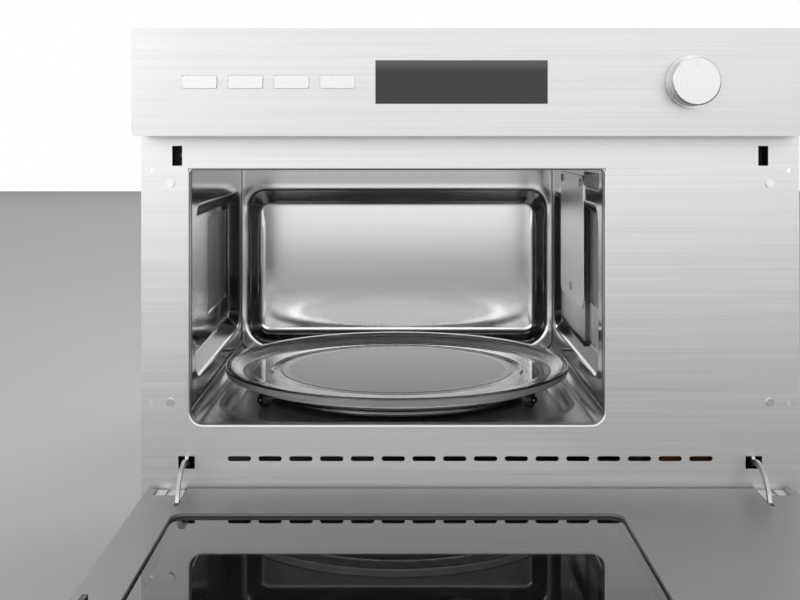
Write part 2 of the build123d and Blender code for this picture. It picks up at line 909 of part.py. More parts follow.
def transformer():
    y = face_y + transformer_setback
    width, depth, height = transformer_core_size
    z = (base_sheet, base_sheet + height)
    core = block(span(service_x, width), span(y, depth), z)
    middle = (z[0] + z[1]) / 2
    for side in (-1, 1):
        offset = side * (winding_width / 2 - winding_width / 8)
        window = block(span(service_x + offset, winding_width / 4), (y - depth, y + depth),
                       span(middle, winding_height))
        core -= window
    save("transformer_core", core)
    coil = block(span(service_x, winding_width), span(y, depth + 2 * winding_bulge),
                 span(middle, winding_height))
    coil = fillet(coil.edges().filter_by(Axis.Z), winding_bulge / 2)
    limb = block(span(service_x, winding_width / 2), span(y, depth), span(middle, winding_height))
    save("transformer_windings", coil - limb)


def capacitor():
    width, height = capacitor_size
    y = face_y + capacitor_setback
    plane = Plane(origin=(service_x - capacitor_length / 2, y, base_sheet + height / 2),
                  x_dir=(0, 0, 1), z_dir=(1, 0, 0))
    can = extrude(plane * SlotOverall(height, width), amount=capacitor_length)
    tab_x = service_x + capacitor_length / 2
    for side in (-1, 1):
        tab = block((tab_x, tab_x + capacitor_tab[0]), span(y, capacitor_tab[1]),
                    span(base_sheet + height / 2 + side * capacitor_tab_offset, capacitor_tab[2]))
        can += tab
    save("capacitor", can)


def thermal_cutouts():
    on_ceiling = rod_z(cavity_x + cavity_width / 4, port_y,
                       (ceiling_z + liner_sheet, ceiling_z + liner_sheet + cutout_height), cutout_radius)
    top = magnetron_z + magnetron_size[2] / 2
    on_yoke = rod_z(guide_out + magnetron_size[0] / 2, port_y, (top, top + cutout_height), cutout_radius)
    save("thermal_cutouts", Compound([on_ceiling.solid(), on_yoke.solid()]))


# Cooling air

def fan_wheel():
    y = span(fan_y, fan_wheel_depth)
    wheel = rod_y(service_x, y, fan_z, fan_hub_radius)
    length = (fan_hub_radius - fan_blade_root, fan_radius + fan_blade_spare)
    blade = block(length, span(0, fan_wheel_depth + 2 * fan_blade_spare), span(0, fan_blade_sheet))
    blade = Rot(fan_blade_angle, 0, 0) * blade
    shroud = rod_y(0, span(0, fan_wheel_depth), 0, fan_radius)
    for index in range(fan_blade_count):
        turned = Rot(0, index * 360 / fan_blade_count, 0) * blade
        wheel += Pos(service_x, fan_y, fan_z) * (turned & shroud)
    shaft_end = fan_y + fan_wheel_depth / 2 + fan_motor_size[1] / 2
    wheel += rod_y(service_x, (fan_y, shaft_end), fan_z, fan_shaft_radius)
    save("fan_wheel", wheel)


def fan_housing():
    ring_radius_in = fan_radius + fan_tip_gap
    ring_y = span(fan_y, fan_ring_depth)
    plate = block(span(service_x, fan_plate_width), (ring_y[0], ring_y[0] + fan_plate_sheet),
                  (base_sheet, fan_z + fan_plate_above))
    ring = rod_y(service_x, ring_y, fan_z, ring_radius_in + fan_plate_sheet)
    housing = plate + ring - rod_y(service_x, past(ring_y), fan_z, ring_radius_in)
    motor_y = fan_y + fan_wheel_depth / 2 + fan_tip_gap
    for side in (-1, 1):
        reach = span(service_x + side * (ring_radius_in + fan_plate_sheet / 2), fan_plate_sheet)
        side_y = (ring_y[1] - overrun, motor_y + fan_motor_size[1])
        housing += block(reach, side_y, span(fan_z, fan_strap_height))
    strap = block(span(service_x, 2 * ring_radius_in + fan_plate_sheet),
                  (motor_y + fan_motor_size[1], motor_y + fan_motor_size[1] + fan_plate_sheet),
                  span(fan_z, fan_strap_height))
    save("fan_housing", housing + strap)


def fan_motor():
    motor_y = fan_y + fan_wheel_depth / 2 + fan_tip_gap
    width, depth, height = fan_motor_size
    motor = block(span(service_x, width), (motor_y, motor_y + depth), span(fan_z, height))
    bore = rod_y(service_x, past((motor_y, motor_y + depth / 2)), fan_z, fan_shaft_radius + running_gap)
    save("fan_motor", motor - bore)


def air_duct():
    # funnels the fan's air on to the magnetron's fins
    start_y = fan_y - fan_ring_depth / 2
    end_y = port_y + magnetron_size[1] / 2
    end_x = guide_out + magnetron_size[0] / 2

    def funnel(grow):
        mouth = facing(service_x, end_y, magnetron_z)
        near = Plane(origin=(end_x, end_y, magnetron_z), x_dir=(1, 0, 0), z_dir=(0, 1, 0))
        far = Plane(origin=(service_x, start_y, fan_z), x_dir=(1, 0, 0), z_dir=mouth.z_dir)
        small = near * Rectangle(duct_end[0] + 2 * grow, duct_end[1] + 2 * grow)
        large = far * Rectangle(duct_mouth[0] + 2 * grow, duct_mouth[1] + 2 * grow)
        return loft([small, large])

    save("air_duct", funnel(duct_wall) - funnel(0))


def exhaust_duct():
    # a flat channel that takes the air from the left screen down to the vent slots
    x = (-inner_half_width + fit_gap, left_panel - liner_sheet)
    y = span(face_y + left_field_setback, left_field_size[0] + 2 * exhaust_margin)
    z = (exhaust_bottom, left_field_z + left_field_size[1] / 2 + exhaust_margin)
    duct = block(x, y, z)
    duct -= block((x[0] + exhaust_wall, x[1] + overrun), (y[0] + exhaust_wall, y[1] - exhaust_wall),
                  (z[0] - overrun, z[1] - exhaust_wall))
    save("exhaust_duct", duct)


def lamp():
    x0 = right_wall + liner_sheet
    y = face_y + lamp_field_setback
    box = block((x0, x0 + lamp_box[0]), span(y, lamp_box[1]), span(lamp_field_z, lamp_box[2]))
    box -= block((x0 - overrun, x0 + lamp_box[0] - lamp_wall), span(y, lamp_box[1] - 2 * lamp_wall),
                 span(lamp_field_z, lamp_box[2] - 2 * lamp_wall))
    socket_x = x0 + lamp_box[0] - lamp_wall
    collar_x = socket_x - lamp_collar_length
    box += rod_x((collar_x, socket_x + lamp_seat), y, lamp_field_z, lamp_cap_radius + lamp_collar)
    box -= rod_x((collar_x - overrun, socket_x - lamp_seat), y, lamp_field_z, lamp_cap_radius + running_gap)
    save("lamp_holder", box)
    neck = lamp_length - lamp_seat
    crown = -lamp_radius
    shoulder = sqrt(lamp_radius ** 2 - lamp_cap_radius ** 2)
    half = Line((crown, 0), (neck, 0)) + Line((neck, 0), (neck, lamp_cap_radius))
    half += Line((neck, lamp_cap_radius), (shoulder, lamp_cap_radius))
    half += ThreePointArc((shoulder, lamp_cap_radius), (0, lamp_radius), (crown, 0))
    bulb = revolve(make_face(half), Axis.X)
    save("lamp", Pos(socket_x - lamp_length, y, lamp_field_z) * bulb)


# Door, built closed and then opened

def hinge_notches():
    # room in the door for its hinge block and check arm
    cuts = []
    reach = past((door_outer_y + door_glass + 2 * overrun, door_inner_y))
    arm_x = hinge_x - hinge_block_width / 2
    for side in (-1, 1):
        cuts.append(block(span(side * hinge_x, hinge_block_width), reach,
                          (door_bottom - overrun, door_bottom + hinge_block_height)))
        arm = sorted((side * arm_x, side * (arm_x - arm_sheet - 2 * fit_gap)))
        cuts.append(block(arm, reach, (door_bottom - overrun, hinge_z + arm_hook_radius + fit_gap)))
    return cuts


def latch_notches():
    cuts = []
    for side in (-1, 1):
        cuts.append(block(span(side * latch_x, latch_slot[0]),
                          past((tray_y, door_inner_y)), span(latch_z, latch_slot[1])))
    return cuts


def door_window_block(grow, y):
    width, height = door_window
    return front_plate(span(cavity_x, width + 2 * grow), y, span(opening_mid_z, height + 2 * grow),
                       door_window_corner + grow)


def door_tray():
    half = front_width / 2 - door_side_gap
    low = door_bottom + door_tray_rise
    front_y = door_outer_y + door_glass
    grip_y = door_outer_y + grip_depth + fit_gap
    top = door_top - door_tray_drop

    def shape(inset):
        lower = block(both_sides(half - inset), (front_y - inset, cover_face_y - inset),
                      (low + inset, grip_bottom - fit_gap - inset))
        upper = block(both_sides(half - inset), (grip_y + inset, cover_face_y - inset),
                      (low + inset, top - inset))
        return lower + upper

    tray = shape(0) - shape(door_sheet)
    tray += door_window_block(door_collar, (front_y, cover_face_y))
    tray -= door_window_block(0, past((front_y, cover_face_y)))
    save("door_tray", opened(tray - hinge_notches() - latch_notches()))


def door_screen():
    y = (tray_y, tray_y + door_screen_sheet)
    save("door_screen", opened(door_window_block(0, y)))


def door_inner_glass():
    width, height = inner_glass
    y = (cover_face_y, cover_face_y + inner_glass_sheet)
    glass = front_plate(span(cavity_x, width), y, span(opening_mid_z, height), inner_glass_corner)
    save("door_inner_glass", opened(glass))


def door_choke_cover():
    half = front_width / 2 - door_side_gap
    width, height = inner_glass
    y = (cover_face_y, door_inner_y)
    z = (door_bottom + door_tray_rise, door_top - door_tray_drop)
    ring = front_plate(both_sides(half), y, z, choke_corner)
    ring = chamfer(ring.edges().group_by(Axis.Y)[-1], choke_bevel)
    seat = (y[0] - overrun, y[0] + inner_glass_sheet + fit_gap)
    ring -= front_plate(span(cavity_x, width + 2 * fit_gap), seat,
                        span(opening_mid_z, height + 2 * fit_gap), inner_glass_corner + fit_gap)
    lip_width = width - 2 * choke_lip
    lip_height = height - 2 * choke_lip
    ring -= front_plate(span(cavity_x, lip_width), past(y), span(opening_mid_z, lip_height),
                        inner_glass_corner)
    save("door_choke_cover", opened(ring - hinge_notches() - latch_notches()))


def door_front_glass():
    y = (door_outer_y, door_outer_y + door_glass)
    glass = front_plate(both_sides(front_width / 2), y, (door_bottom, grip_bottom - grip_gap), front_corner)
    save("door_front_glass", opened(glass))


def door_grip():
    # a channel along the door's top edge: fingers go in at the front and hook up behind its lip
    y = (door_outer_y, door_outer_y + grip_depth)
    rail = block(both_sides(front_width / 2), y, (grip_bottom, door_top))
    hollow = block(both_sides(front_width / 2 - grip_wall), (y[0] + grip_wall, y[1] - grip_wall),
                   (grip_bottom + grip_wall, door_top - grip_wall))
    mouth = block(both_sides(front_width / 2 - grip_wall), past((y[0], y[0] + grip_wall)),
                  (grip_bottom + grip_sill, door_top - grip_lip))
    save("door_grip", opened(rail - hollow - mouth))


def hinge_blocks():
    blocks = []
    rear = hinge_y + hinge_block_behind
    y = (rear - hinge_block_depth, rear)
    z = (door_bottom, door_bottom + hinge_block_height)
    for side in (-1, 1):
        x = side * hinge_x
        width = span(x, hinge_block_width)
        swing = block(width, (hinge_y, y[1]), (z[0], hinge_z))
        swing = swing & rod_x(width, hinge_y, hinge_z, hinge_ahead - hinge_swing_gap)
        piece = block(width, (y[0], hinge_y), z) + block(width, (hinge_y, y[1]), (hinge_z, z[1])) + swing
        piece -= block(span(x, ear_sheet + 2 * ear_gap), (hinge_y - ear_radius - overrun, y[1] + overrun),
                       (z[0] - overrun, hinge_z + ear_radius + overrun))
        piece -= rod_x(span(x, 2 * hinge_block_width), hinge_y, hinge_z, hinge_pin_radius + running_gap)
        blocks.append(opened(piece).solid())
    save("hinge_blocks", Compound(blocks))


def sector(inner, outer, start, end):
    # part of a ring about the hinge line, its angle counted from straight ahead upwards
    wedge = [(0, 0)]
    reach = 2 * outer
    for step in range(arm_curve_steps + 1):
        angle = radians(end + (start - end) * step / arm_curve_steps)
        wedge.append((-reach * cos(angle), reach * sin(angle)))
    ring = Circle(outer) - Circle(inner)
    return ring & make_face(Polyline(*wedge, close=True))


def check_arms():
    # built as they stand with the door open, so they need no turning
    arms = []
    inner_x = hinge_x - hinge_block_width / 2 - arm_sheet
    low = arm_radius - arm_width / 2
    high = arm_radius + arm_width / 2
    bow = sector(low, high, 0, arm_end_angle)
    stop = sector(low, arm_hook_radius, arm_hook_angle, arm_end_angle)
    for side in (-1, 1):
        start = inner_x if side > 0 else -inner_x - arm_sheet
        plane = Plane(origin=(start, hinge_y, hinge_z), x_dir=(0, 1, 0), z_dir=(1, 0, 0))
        arm = extrude(plane * bow, amount=arm_sheet) + extrude(plane * stop, amount=arm_sheet)
        arm += block((start, start + arm_sheet), (hinge_y - high + overrun, hinge_y),
                     (hinge_z, hinge_z + hinge_ahead - door_gap))
        arms.append(arm.solid())
    save("check_arms", Compound(arms))


def hinge_brackets():
    # an ear that comes through the face sheet, its pressed-in pin, and the foot behind
    brackets = []
    back = face_y + face_sheet
    for side in (-1, 1):
        x = side * hinge_x
        ear = block(span(x, ear_sheet), (hinge_y, back + bracket_foot[1]), span(hinge_z, ear_height))
        ear += rod_x(span(x, ear_sheet), hinge_y, hinge_z, ear_radius)
        ear += rod_x(span(x, hinge_pin_length), hinge_y, hinge_z, hinge_pin_radius)
        inner = abs(x) + ear_sheet / 2
        foot_x = sorted((side * inner, side * (inner - bracket_foot[0])))
        foot_z = span(hinge_z + bracket_foot_rise, bracket_foot[2])
        ear += block(foot_x, (back, back + bracket_foot[1]), foot_z)
        brackets.append(ear.solid())
    save("hinge_brackets", Compound(brackets))


def latch_hook(name, side):
    # a sprung hook: its pivot is in the door and its tip reaches through the face sheet
    tip_y = face_y + hook_reach
    x = span(side * latch_x, hook_sheet)
    hook = rod_x(x, latch_y, latch_z, hook_height / 2)
    hook += block(x, (latch_y, tip_y), span(latch_z, hook_height))
    hook += block(x, (tip_y - hook_tip_length, tip_y), (latch_z - hook_height / 2 - hook_tip, latch_z))
    hook -= rod_x(span(side * latch_x, 3 * hook_sheet), latch_y, latch_z, latch_pin_radius + running_gap)
    save(name, opened(hook))


def latch_housings():
    housings = []
    y = (tray_y - housing_size[1], tray_y)
    for side in (-1, 1):
        x = span(side * latch_x, housing_size[0])
        body = block(x, y, span(latch_z, housing_size[2]))
        body -= block(span(side * latch_x, housing_slot[0]), past(y), span(latch_z, housing_slot[1]))
        pin = span(side * latch_x, housing_slot[0] + 2 * housing_pin_seat)
        body += rod_x(pin, latch_y, latch_z, latch_pin_radius)
        housings.append(opened(body).solid())
    save("latch_housings", Compound(housings))


def switch_parts():
    # behind the face sheet, each hook meets a plunger when the door shuts
    back = face_y + face_sheet
    holder_list = []
    for side, name in ((-1, "left"), (1, "right")):
        x = side * latch_x
        holder = block(span(x, holder_size[0]), (back, back + holder_size[1]), span(latch_z, holder_size[2]))
        channel_z = span(latch_z, holder_size[2] - 2 * holder_wall)
        channel_x = span(x, holder_size[0] - 2 * holder_wall)
        holder -= block(channel_x, past((back, face_y + hook_reach)), channel_z)
        plunger_y = face_y + hook_reach + plunger_gap
        bore = past((plunger_y, plunger_y + plunger_length + plunger_travel))
        holder -= rod_y(x, bore, latch_z, plunger_radius + running_gap)
        holder_list.append(holder.solid())
        plunger = rod_y(x, (plunger_y, plunger_y + plunger_length), latch_z, plunger_radius)
        save("switch_plunger_" + name, plunger)
    save("door_switches", Compound(holder_list))


# Control strip

def control_fascia():
    y = (door_outer_y, door_outer_y + fascia_sheet)
    sheet = front_plate(both_sides(front_width / 2), y, (fascia_bottom, front_top), front_corner)
    through = past(y)
    sheet -= block(span(display_x, display_size[0]), through, span(controls_z, display_size[1]))
    sheet -= rod_y(knob_x, through, controls_z, knob_shaft_radius + fit_gap)
    for x in button_places():
        width, height = button_size
        sheet -= block(span(x, width + 2 * button_gap), through, span(controls_z, height + 2 * button_gap))
    save("control_fascia", sheet)


def control_carrier():
    # the closed box behind the fascia that carries the controls
    half = front_width / 2 - fascia_wall
    y = (door_outer_y + fascia_sheet, face_y)
    z = (fascia_bottom + fascia_wall / 2, front_top - fascia_wall / 2)
    rear = y[1] - overrun
    box = block(both_sides(half), y, z)
    box -= block(both_sides(half - fascia_wall), (y[0] - overrun, y[1] - fascia_wall),
                 (z[0] + fascia_wall, z[1] - fascia_wall))
    post_y = (door_outer_y + button_stem + button_travel + fit_gap, rear)
    for x in button_places():
        box += rod_y(x, post_y, controls_z, button_post_radius)
    seat = (y[0] + display_lens_sheet, rear)
    width, height = display_size
    box += block(span(display_x, width - 2 * lens_ledge), seat, span(controls_z, height - 2 * lens_ledge))
    box += rod_y(knob_x, (y[0] + bearing_recess, rear), controls_z, bearing_radius)
    box -= rod_y(knob_x, (y[0], y[0] + bearing_depth), controls_z, knob_shaft_radius + running_gap)
    save("control_carrier", box)


def display_lens():
    y = (door_outer_y, door_outer_y + fascia_sheet + display_lens_sheet)
    width, height = display_size
    lens = block(span(display_x, width - 2 * running_gap), y, span(controls_z, height - 2 * running_gap))
    save("display_lens", lens)


def knob():
    y = (door_outer_y - knob_height, door_outer_y - fit_gap)
    grip = rod_y(knob_x, y, controls_z, knob_radius)
    grip = fillet(grip.edges().filter_by(GeomType.CIRCLE).sort_by(Axis.Y)[0], knob_edge)
    grip += rod_y(knob_x, (y[1] - knob_skirt, y[1]), controls_z, knob_skirt_radius)
    grip += rod_y(knob_x, (y[1] - overrun, y[1] + knob_shaft_length), controls_z, knob_shaft_radius)
    width, depth, length = knob_mark
    tip = controls_z + knob_radius - knob_mark_inset
    mark = block(span(knob_x, width), (y[0] - overrun, y[0] + depth), (tip - length, tip))
    save("control_knob", grip - mark)


def button_places():
    return [button_first_x + index * button_pitch for index in range(button_count)]


def push_buttons():
    width, height = button_size
    for number, x in enumerate(button_places(), 1):
        back = door_outer_y + fascia_sheet + button_flange_gap
        cap = block(span(x, width), (door_outer_y - button_proud, back + overrun), span(controls_z, height))
        cap = fillet(cap.edges().filter_by(Axis.Y), button_corner)
        flange = block(span(x, width + 2 * button_flange), (back, back + button_flange),
                       span(controls_z, height + 2 * button_flange))
        stem = rod_y(x, (back, door_outer_y + button_stem), controls_z, button_stem_radius)
        save("push_button_" + str(number), cap + flange + stem)


def control_board():
    y = span(face_y + board_setback, board_size[1])
    x = span(board_x, board_size[0])
    low = ceiling_z + liner_sheet
    z = (low + board_lift, low + board_lift + board_sheet)
    board = block(x, y, z)
    for post_x in (x[0] + standoff_inset, x[1] - standoff_inset):
        for post_y in (y[0] + standoff_inset, y[1] - standoff_inset):
            if post_x < right_wall:
                board += rod_z(post_x, post_y, (low, z[0]), standoff_radius)
    side, deep, tall = board_relay
    relay_x = board_x + board_relay_place[0]
    relay_y = y[0] + board_relay_place[1]
    board += block(span(relay_x, side), span(relay_y, deep), (z[1], z[1] + tall))
    side, deep, tall = board_part
    for step in range(board_part_count):
        part_x = board_x + board_part_place[0] + board_part_pitch * step
        board += block(span(part_x, side), span(y[1] - board_part_place[1], deep), (z[1], z[1] + tall))
    save("control_board", board)


liner_pieces()
screens()
waveguide_cover()
front_frame()
casing()
base_plate()
rear_panel()
case_screws()
cord_gland()
terminal_block()
turntable_glass()
drive_coupler()
turntable_motor()
roller_ring()
rollers()
waveguide()
magnetron()
transformer()
capacitor()
thermal_cutouts()
fan_wheel()
fan_housing()
fan_motor()
air_duct()
exhaust_duct()
lamp()
door_tray()
door_screen()
door_inner_glass()
door_choke_cover()
door_front_glass()
door_grip()
hinge_blocks()
check_arms()
hinge_brackets()
latch_hook("latch_hook_left", -1)
latch_hook("latch_hook_right", 1)
latch_housings()
switch_parts()
control_fascia()
control_carrier()
display_lens()
knob()
push_buttons()
control_board()
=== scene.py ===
import math

import bmesh
import bpy
import numpy as np
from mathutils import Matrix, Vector


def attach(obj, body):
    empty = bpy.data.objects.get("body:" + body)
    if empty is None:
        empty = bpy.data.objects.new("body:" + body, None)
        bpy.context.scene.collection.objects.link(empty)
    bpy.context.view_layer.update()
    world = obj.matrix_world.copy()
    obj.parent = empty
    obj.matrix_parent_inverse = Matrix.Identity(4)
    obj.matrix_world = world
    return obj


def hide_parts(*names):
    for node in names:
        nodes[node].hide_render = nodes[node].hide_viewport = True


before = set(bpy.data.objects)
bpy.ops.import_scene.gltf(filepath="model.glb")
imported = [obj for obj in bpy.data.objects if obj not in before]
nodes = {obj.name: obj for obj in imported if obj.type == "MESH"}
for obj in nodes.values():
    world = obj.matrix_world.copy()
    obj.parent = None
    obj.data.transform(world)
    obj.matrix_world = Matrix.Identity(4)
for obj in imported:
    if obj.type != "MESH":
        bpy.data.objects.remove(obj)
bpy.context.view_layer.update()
print("stage 1: frame loaded,", len(nodes), "CAD nodes")

mm = 0.001


# Camera: eye, focal length and shift give the photograph's one-point perspective

view = {
    "eye": (-0.0662, -1.309, 0.36366),
    "focalPixels": 1171,
    "shiftPixels": (3, -167),
    "imageWidth": 800,
    "sensor": 36,
    "clip": (0.01, 50),
}

camera = bpy.data.objects.new("camera", bpy.data.cameras.new("camera"))
bpy.context.scene.collection.objects.link(camera)
camera.location = view["eye"]
camera.rotation_euler = (math.pi / 2, 0, 0)
camera.data.sensor_width = view["sensor"]
camera.data.lens = view["focalPixels"] / view["imageWidth"] * view["sensor"]
camera.data.shift_x, camera.data.shift_y = (pixels / view["imageWidth"] for pixels in view["shiftPixels"])
camera.data.clip_start, camera.data.clip_end = view["clip"]
bpy.context.scene.camera = camera
bpy.context.scene.view_settings.view_transform = "Standard"
print("stage 2: camera placed")


# Shader building

class Wire:
    # one output socket; every arithmetic operator used on it adds a Math node
    def __init__(self, shop, socket):
        self.shop, self.socket = shop, socket

    def __add__(self, other): return self.shop.math("ADD", self, other)
    def __radd__(self, other): return self.shop.math("ADD", other, self)
    def __sub__(self, other): return self.shop.math("SUBTRACT", self, other)
    def __rsub__(self, other): return self.shop.math("SUBTRACT", other, self)
    def __mul__(self, other): return self.shop.math("MULTIPLY", self, other)
    def __pow__(self, other): return self.shop.math("POWER", self, other)

    def ramp(self, low, high):
        # 0 below low, 1 above high, smooth between
        return self.shop.node("MapRange", {"interpolation_type": "SMOOTHSTEP"}, self, low, high, 0.0, 1.0)["Result"]

    def drop(self, low, high):
        # 1 below low, 0 above high
        return 1 - self.ramp(low, high)


class Outputs:
    # the outputs of a node, by identifier or by name
    def __init__(self, shop, made):
        self.shop, self.made = shop, made

    def __getitem__(self, name):
        for socket in self.made.outputs:
            if socket.identifier == name:
                return Wire(self.shop, socket)
        for socket in self.made.outputs:
            if socket.name == name and socket.enabled:
                return Wire(self.shop, socket)
        raise KeyError(name)


class Shop:
    # builds the node tree of one material or world; node() is the only way in which nodes are added
    def __init__(self, owner):
        owner.use_nodes = True
        self.owner, self.tree = owner, owner.node_tree
        self.tree.nodes.clear()

    def node(self, kind, settings=None, *values, **named):
        # values feed the inputs in their order, named ones by identifier or by name
        made = self.tree.nodes.new("ShaderNode" + kind)
        for key, value in (settings or {}).items():
            setattr(made, key, value)
        for index, value in enumerate(values):
            self.feed(made.inputs[index], value)
        for key, value in named.items():
            self.feed(self.find(made, key), value)
        return Outputs(self, made)

    def find(self, made, key):
        spaced = key.replace("_", " ")
        for socket in made.inputs:
            if socket.identifier in (key, spaced):
                return socket
        return made.inputs[spaced]

    def feed(self, socket, value):
        if isinstance(value, Wire):
            self.tree.links.new(value.socket, socket)
        elif isinstance(value, tuple) and len(value) == 3 and len(socket.default_value) == 4:
            socket.default_value = (*value, 1)
        else:
            socket.default_value = value

    def math(self, operation, *values):
        return self.node("Math", {"operation": operation}, *values)["Value"]

    def mix(self, factor, first, second):
        made = self.node("Mix", {"data_type": "RGBA"}, Factor_Float=factor, A_Color=first, B_Color=second)
        return made["Result_Color"]

    def place(self, scale=(1, 1, 1), offset=(0, 0, 0)):
        where = self.node("TexCoord")["Object"]
        return self.node("Mapping", Vector=where, Scale=scale, Location=offset)["Vector"]

    def split(self, vector):
        parts = self.node("SeparateXYZ", None, vector)
        return parts["X"], parts["Y"], parts["Z"]

    def noise(self, scale, detail=2.0, roughness=0.5, stretch=(1, 1, 1)):
        # a value about 0.5
        made = self.node("TexNoise", Vector=self.place(stretch), Scale=scale, Detail=detail, Roughness=roughness)
        return made["Fac"]

    def bump(self, height, strength, distance):
        return self.node("Bump", Strength=strength, Distance=distance, Height=height)["Normal"]

    def attribute(self, name):
        return self.node("Attribute", {"attribute_name": name})["Fac"]

    def principled(self, **inputs):
        return self.node("BsdfPrincipled", **inputs)["BSDF"]

    def mixShader(self, factor, first, second):
        return self.node("MixShader", None, factor, first, second)["Shader"]

    def finish(self, shader, output="OutputMaterial"):
        self.node(output, Surface=shader)
        return self.owner


def newMaterial(name):
    return Shop(bpy.data.materials.new(name))


brush = {"fine": {"along": 4, "roughness": 0.6, "share": 0.65},
         "coarse": {"along": 2, "roughness": 0.5, "share": 0.35}}
sheet = {"contrast": (0.3, 0.7), "cloudScale": 9.0, "cloudDetail": 3.0, "bump": 0.35}
moulded = {"cloudScale": 14.0, "gritRoughness": 0.6, "lift": 0.002, "roughnessGrit": 0.12, "bump": 0.4}
clearGlass = {"index": 1.5, "hazeScale": 6.0, "darker": 0.92, "roughnessHaze": 0.01}


def grain(shop, axis, fine=2600, coarse=420):
    # brushed streaks: noise drawn out along one axis; returns a value about 0.5
    def streaks(kind, across):
        stretch = tuple(brush[kind]["along"] if each == axis else across for each in "xyz")
        return shop.noise(1.0, roughness=brush[kind]["roughness"], stretch=stretch) * brush[kind]["share"]
    return streaks("fine", fine) + streaks("coarse", coarse)


def steel(name, colour, roughness, axis, streak, bumpDepth=0.00002, fine=2600, coarse=420, mottle=0.0, uneven=0.5,
          metallic=1.0):
    # brushed sheet: colour and roughness follow the streaks, mottle adds a cloudy change of roughness
    shop = newMaterial(name)
    streaks = grain(shop, axis, fine, coarse)
    cloud = shop.noise(sheet["cloudScale"], sheet["cloudDetail"])
    light = tuple(min(1, c * (1 + streak)) for c in colour)
    dark = tuple(c * (1 - streak) for c in colour)
    return shop.finish(shop.principled(
        Base_Color=shop.mix(streaks.ramp(*sheet["contrast"]), dark, light), Metallic=metallic,
        Roughness=roughness + (streaks - 0.5) * (roughness * uneven) + (cloud - 0.5) * mottle,
        Normal=shop.bump(streaks, sheet["bump"], bumpDepth)))


def plastic(name, colour, roughness, scale=900.0, depth=0.00004, variation=0.06):
    shop = newMaterial(name)
    grit = shop.noise(scale, roughness=moulded["gritRoughness"])
    cloud = shop.noise(moulded["cloudScale"])
    light = tuple(min(1, c * (1 + variation) + moulded["lift"]) for c in colour)
    dark = tuple(c * (1 - variation) for c in colour)
    return shop.finish(shop.principled(
        Base_Color=shop.mix(cloud, dark, light), Roughness=roughness + (grit - 0.5) * moulded["roughnessGrit"],
        Normal=shop.bump(grit, moulded["bump"], depth)))


def tintedGlass(name, colour, roughness, transmission):
    shop = newMaterial(name)
    haze = shop.noise(clearGlass["hazeScale"])
    darker = tuple(c * clearGlass["darker"] for c in colour)
    return shop.finish(shop.principled(
        Base_Color=shop.mix(haze, colour, darker), Roughness=roughness + haze * clearGlass["roughnessHaze"],
        IOR=clearGlass["index"], Transmission_Weight=transmission))


# Meshes worked out on grids

def makeMesh(name, points, faces, smooth=True):
    mesh = bpy.data.meshes.new(name)
    mesh.vertices.add(len(points))
    mesh.vertices.foreach_set("co", np.ascontiguousarray(points, np.float32).ravel())
    mesh.loops.add(faces.size)
    mesh.loops.foreach_set("vertex_index", np.ascontiguousarray(faces, np.int32).ravel())
    mesh.polygons.add(len(faces))
    mesh.polygons.foreach_set("loop_start", np.arange(0, faces.size, faces.shape[1], dtype=np.int32))
    mesh.polygons.foreach_set("use_smooth", np.full(len(faces), smooth))
    mesh.update(calc_edges=True)
    mesh.validate()
    piece = bpy.data.objects.new(name, mesh)
    bpy.context.scene.collection.objects.link(piece)
    return piece


def addValues(piece, name, values):
    # one number for each point, which a material reads by its name
    layer = piece.data.attributes.new(name, "FLOAT", "POINT")
    layer.data.foreach_set("value", np.ascontiguousarray(values, np.float32).ravel())


def gridFaces(rows, columns, wrapRows=False, keep=None, flip=False):
    # quads between neighbouring lines of a rows x columns grid of points
    a = np.arange(rows if wrapRows else rows - 1)[:, None]
    b = np.arange(columns - 1)[None, :]
    nextRow = (a + 1) % rows
    corners = [a * columns + b, nextRow * columns + b, nextRow * columns + b + 1, a * columns + b + 1]
    quads = np.stack([np.broadcast_to(c, (len(a), columns - 1)) for c in corners], -1)
    if flip:
        quads = quads[..., ::-1]
    if keep is not None:
        return quads[keep]
    return quads.reshape(-1, 4)


def thicken(piece, thickness):
    # adds the wall behind the made surface
    made = piece.modifiers.new("wall", "SOLIDIFY")
    made.thickness, made.offset = thickness * mm, -1.0
    return piece


def gridLines(first, last, spacing, axis, *single, closest=0.25):
    # coarse lines from first to last, finer bands across the bends, single lines at window edges; near twins merge
    bands = [(first, last, spacing["coarse"]), *spacing[axis]]
    values = [np.linspace(start, end, max(int(round(abs(end - start) / step)), 1) + 1) for start, end, step in bands]
    merged = np.unique(np.round(np.concatenate([*values, np.array(single, float)]), 4))
    close = np.diff(merged) < closest
    return merged[np.concatenate([[True], ~close])]


def roundedDistance(u, v, halfU, halfV, radius):
    # distance to a rectangle with rounded corners, below zero inside it
    a = np.abs(u) - (halfU - radius)
    b = np.abs(v) - (halfV - radius)
    return np.hypot(np.maximum(a, 0), np.maximum(b, 0)) + np.minimum(np.maximum(a, b), 0) - radius


def slope(distance, width, rise, rounding):
    # a straight ramp, rise high over width, whose two bends are rounded: a box average of the sharp ramp
    def area(t):
        inside = np.clip(t, 0, width)
        return inside ** 2 / 2 + width * np.maximum(t - width, 0)
    return (area(distance + rounding) - area(distance - rounding)) / (2 * rounding) * rise / width


def rising(value, start, width):
    # 0 below start, 1 above start + width
    return np.clip((value - start) / width, 0, 1)


def falling(value, end, width):
    # 1 below end - width, 0 above end
    return np.clip((end - value) / width, 0, 1)


def ridge(value, middle, width):
    return np.exp(-((value - middle) / width) ** 2)


# Liner: the same walls as the CAD's, with the rounded bends of a pressing

liner = {"x": -66.2, "halfWidth": 187.5, "floor": 100.0, "ceiling": 345.0, "corner": 12.0, "cornerSteps": 12,
         "front": -242.0, "joint": 107.0, "back": 112.0, "sheet": 1.0}

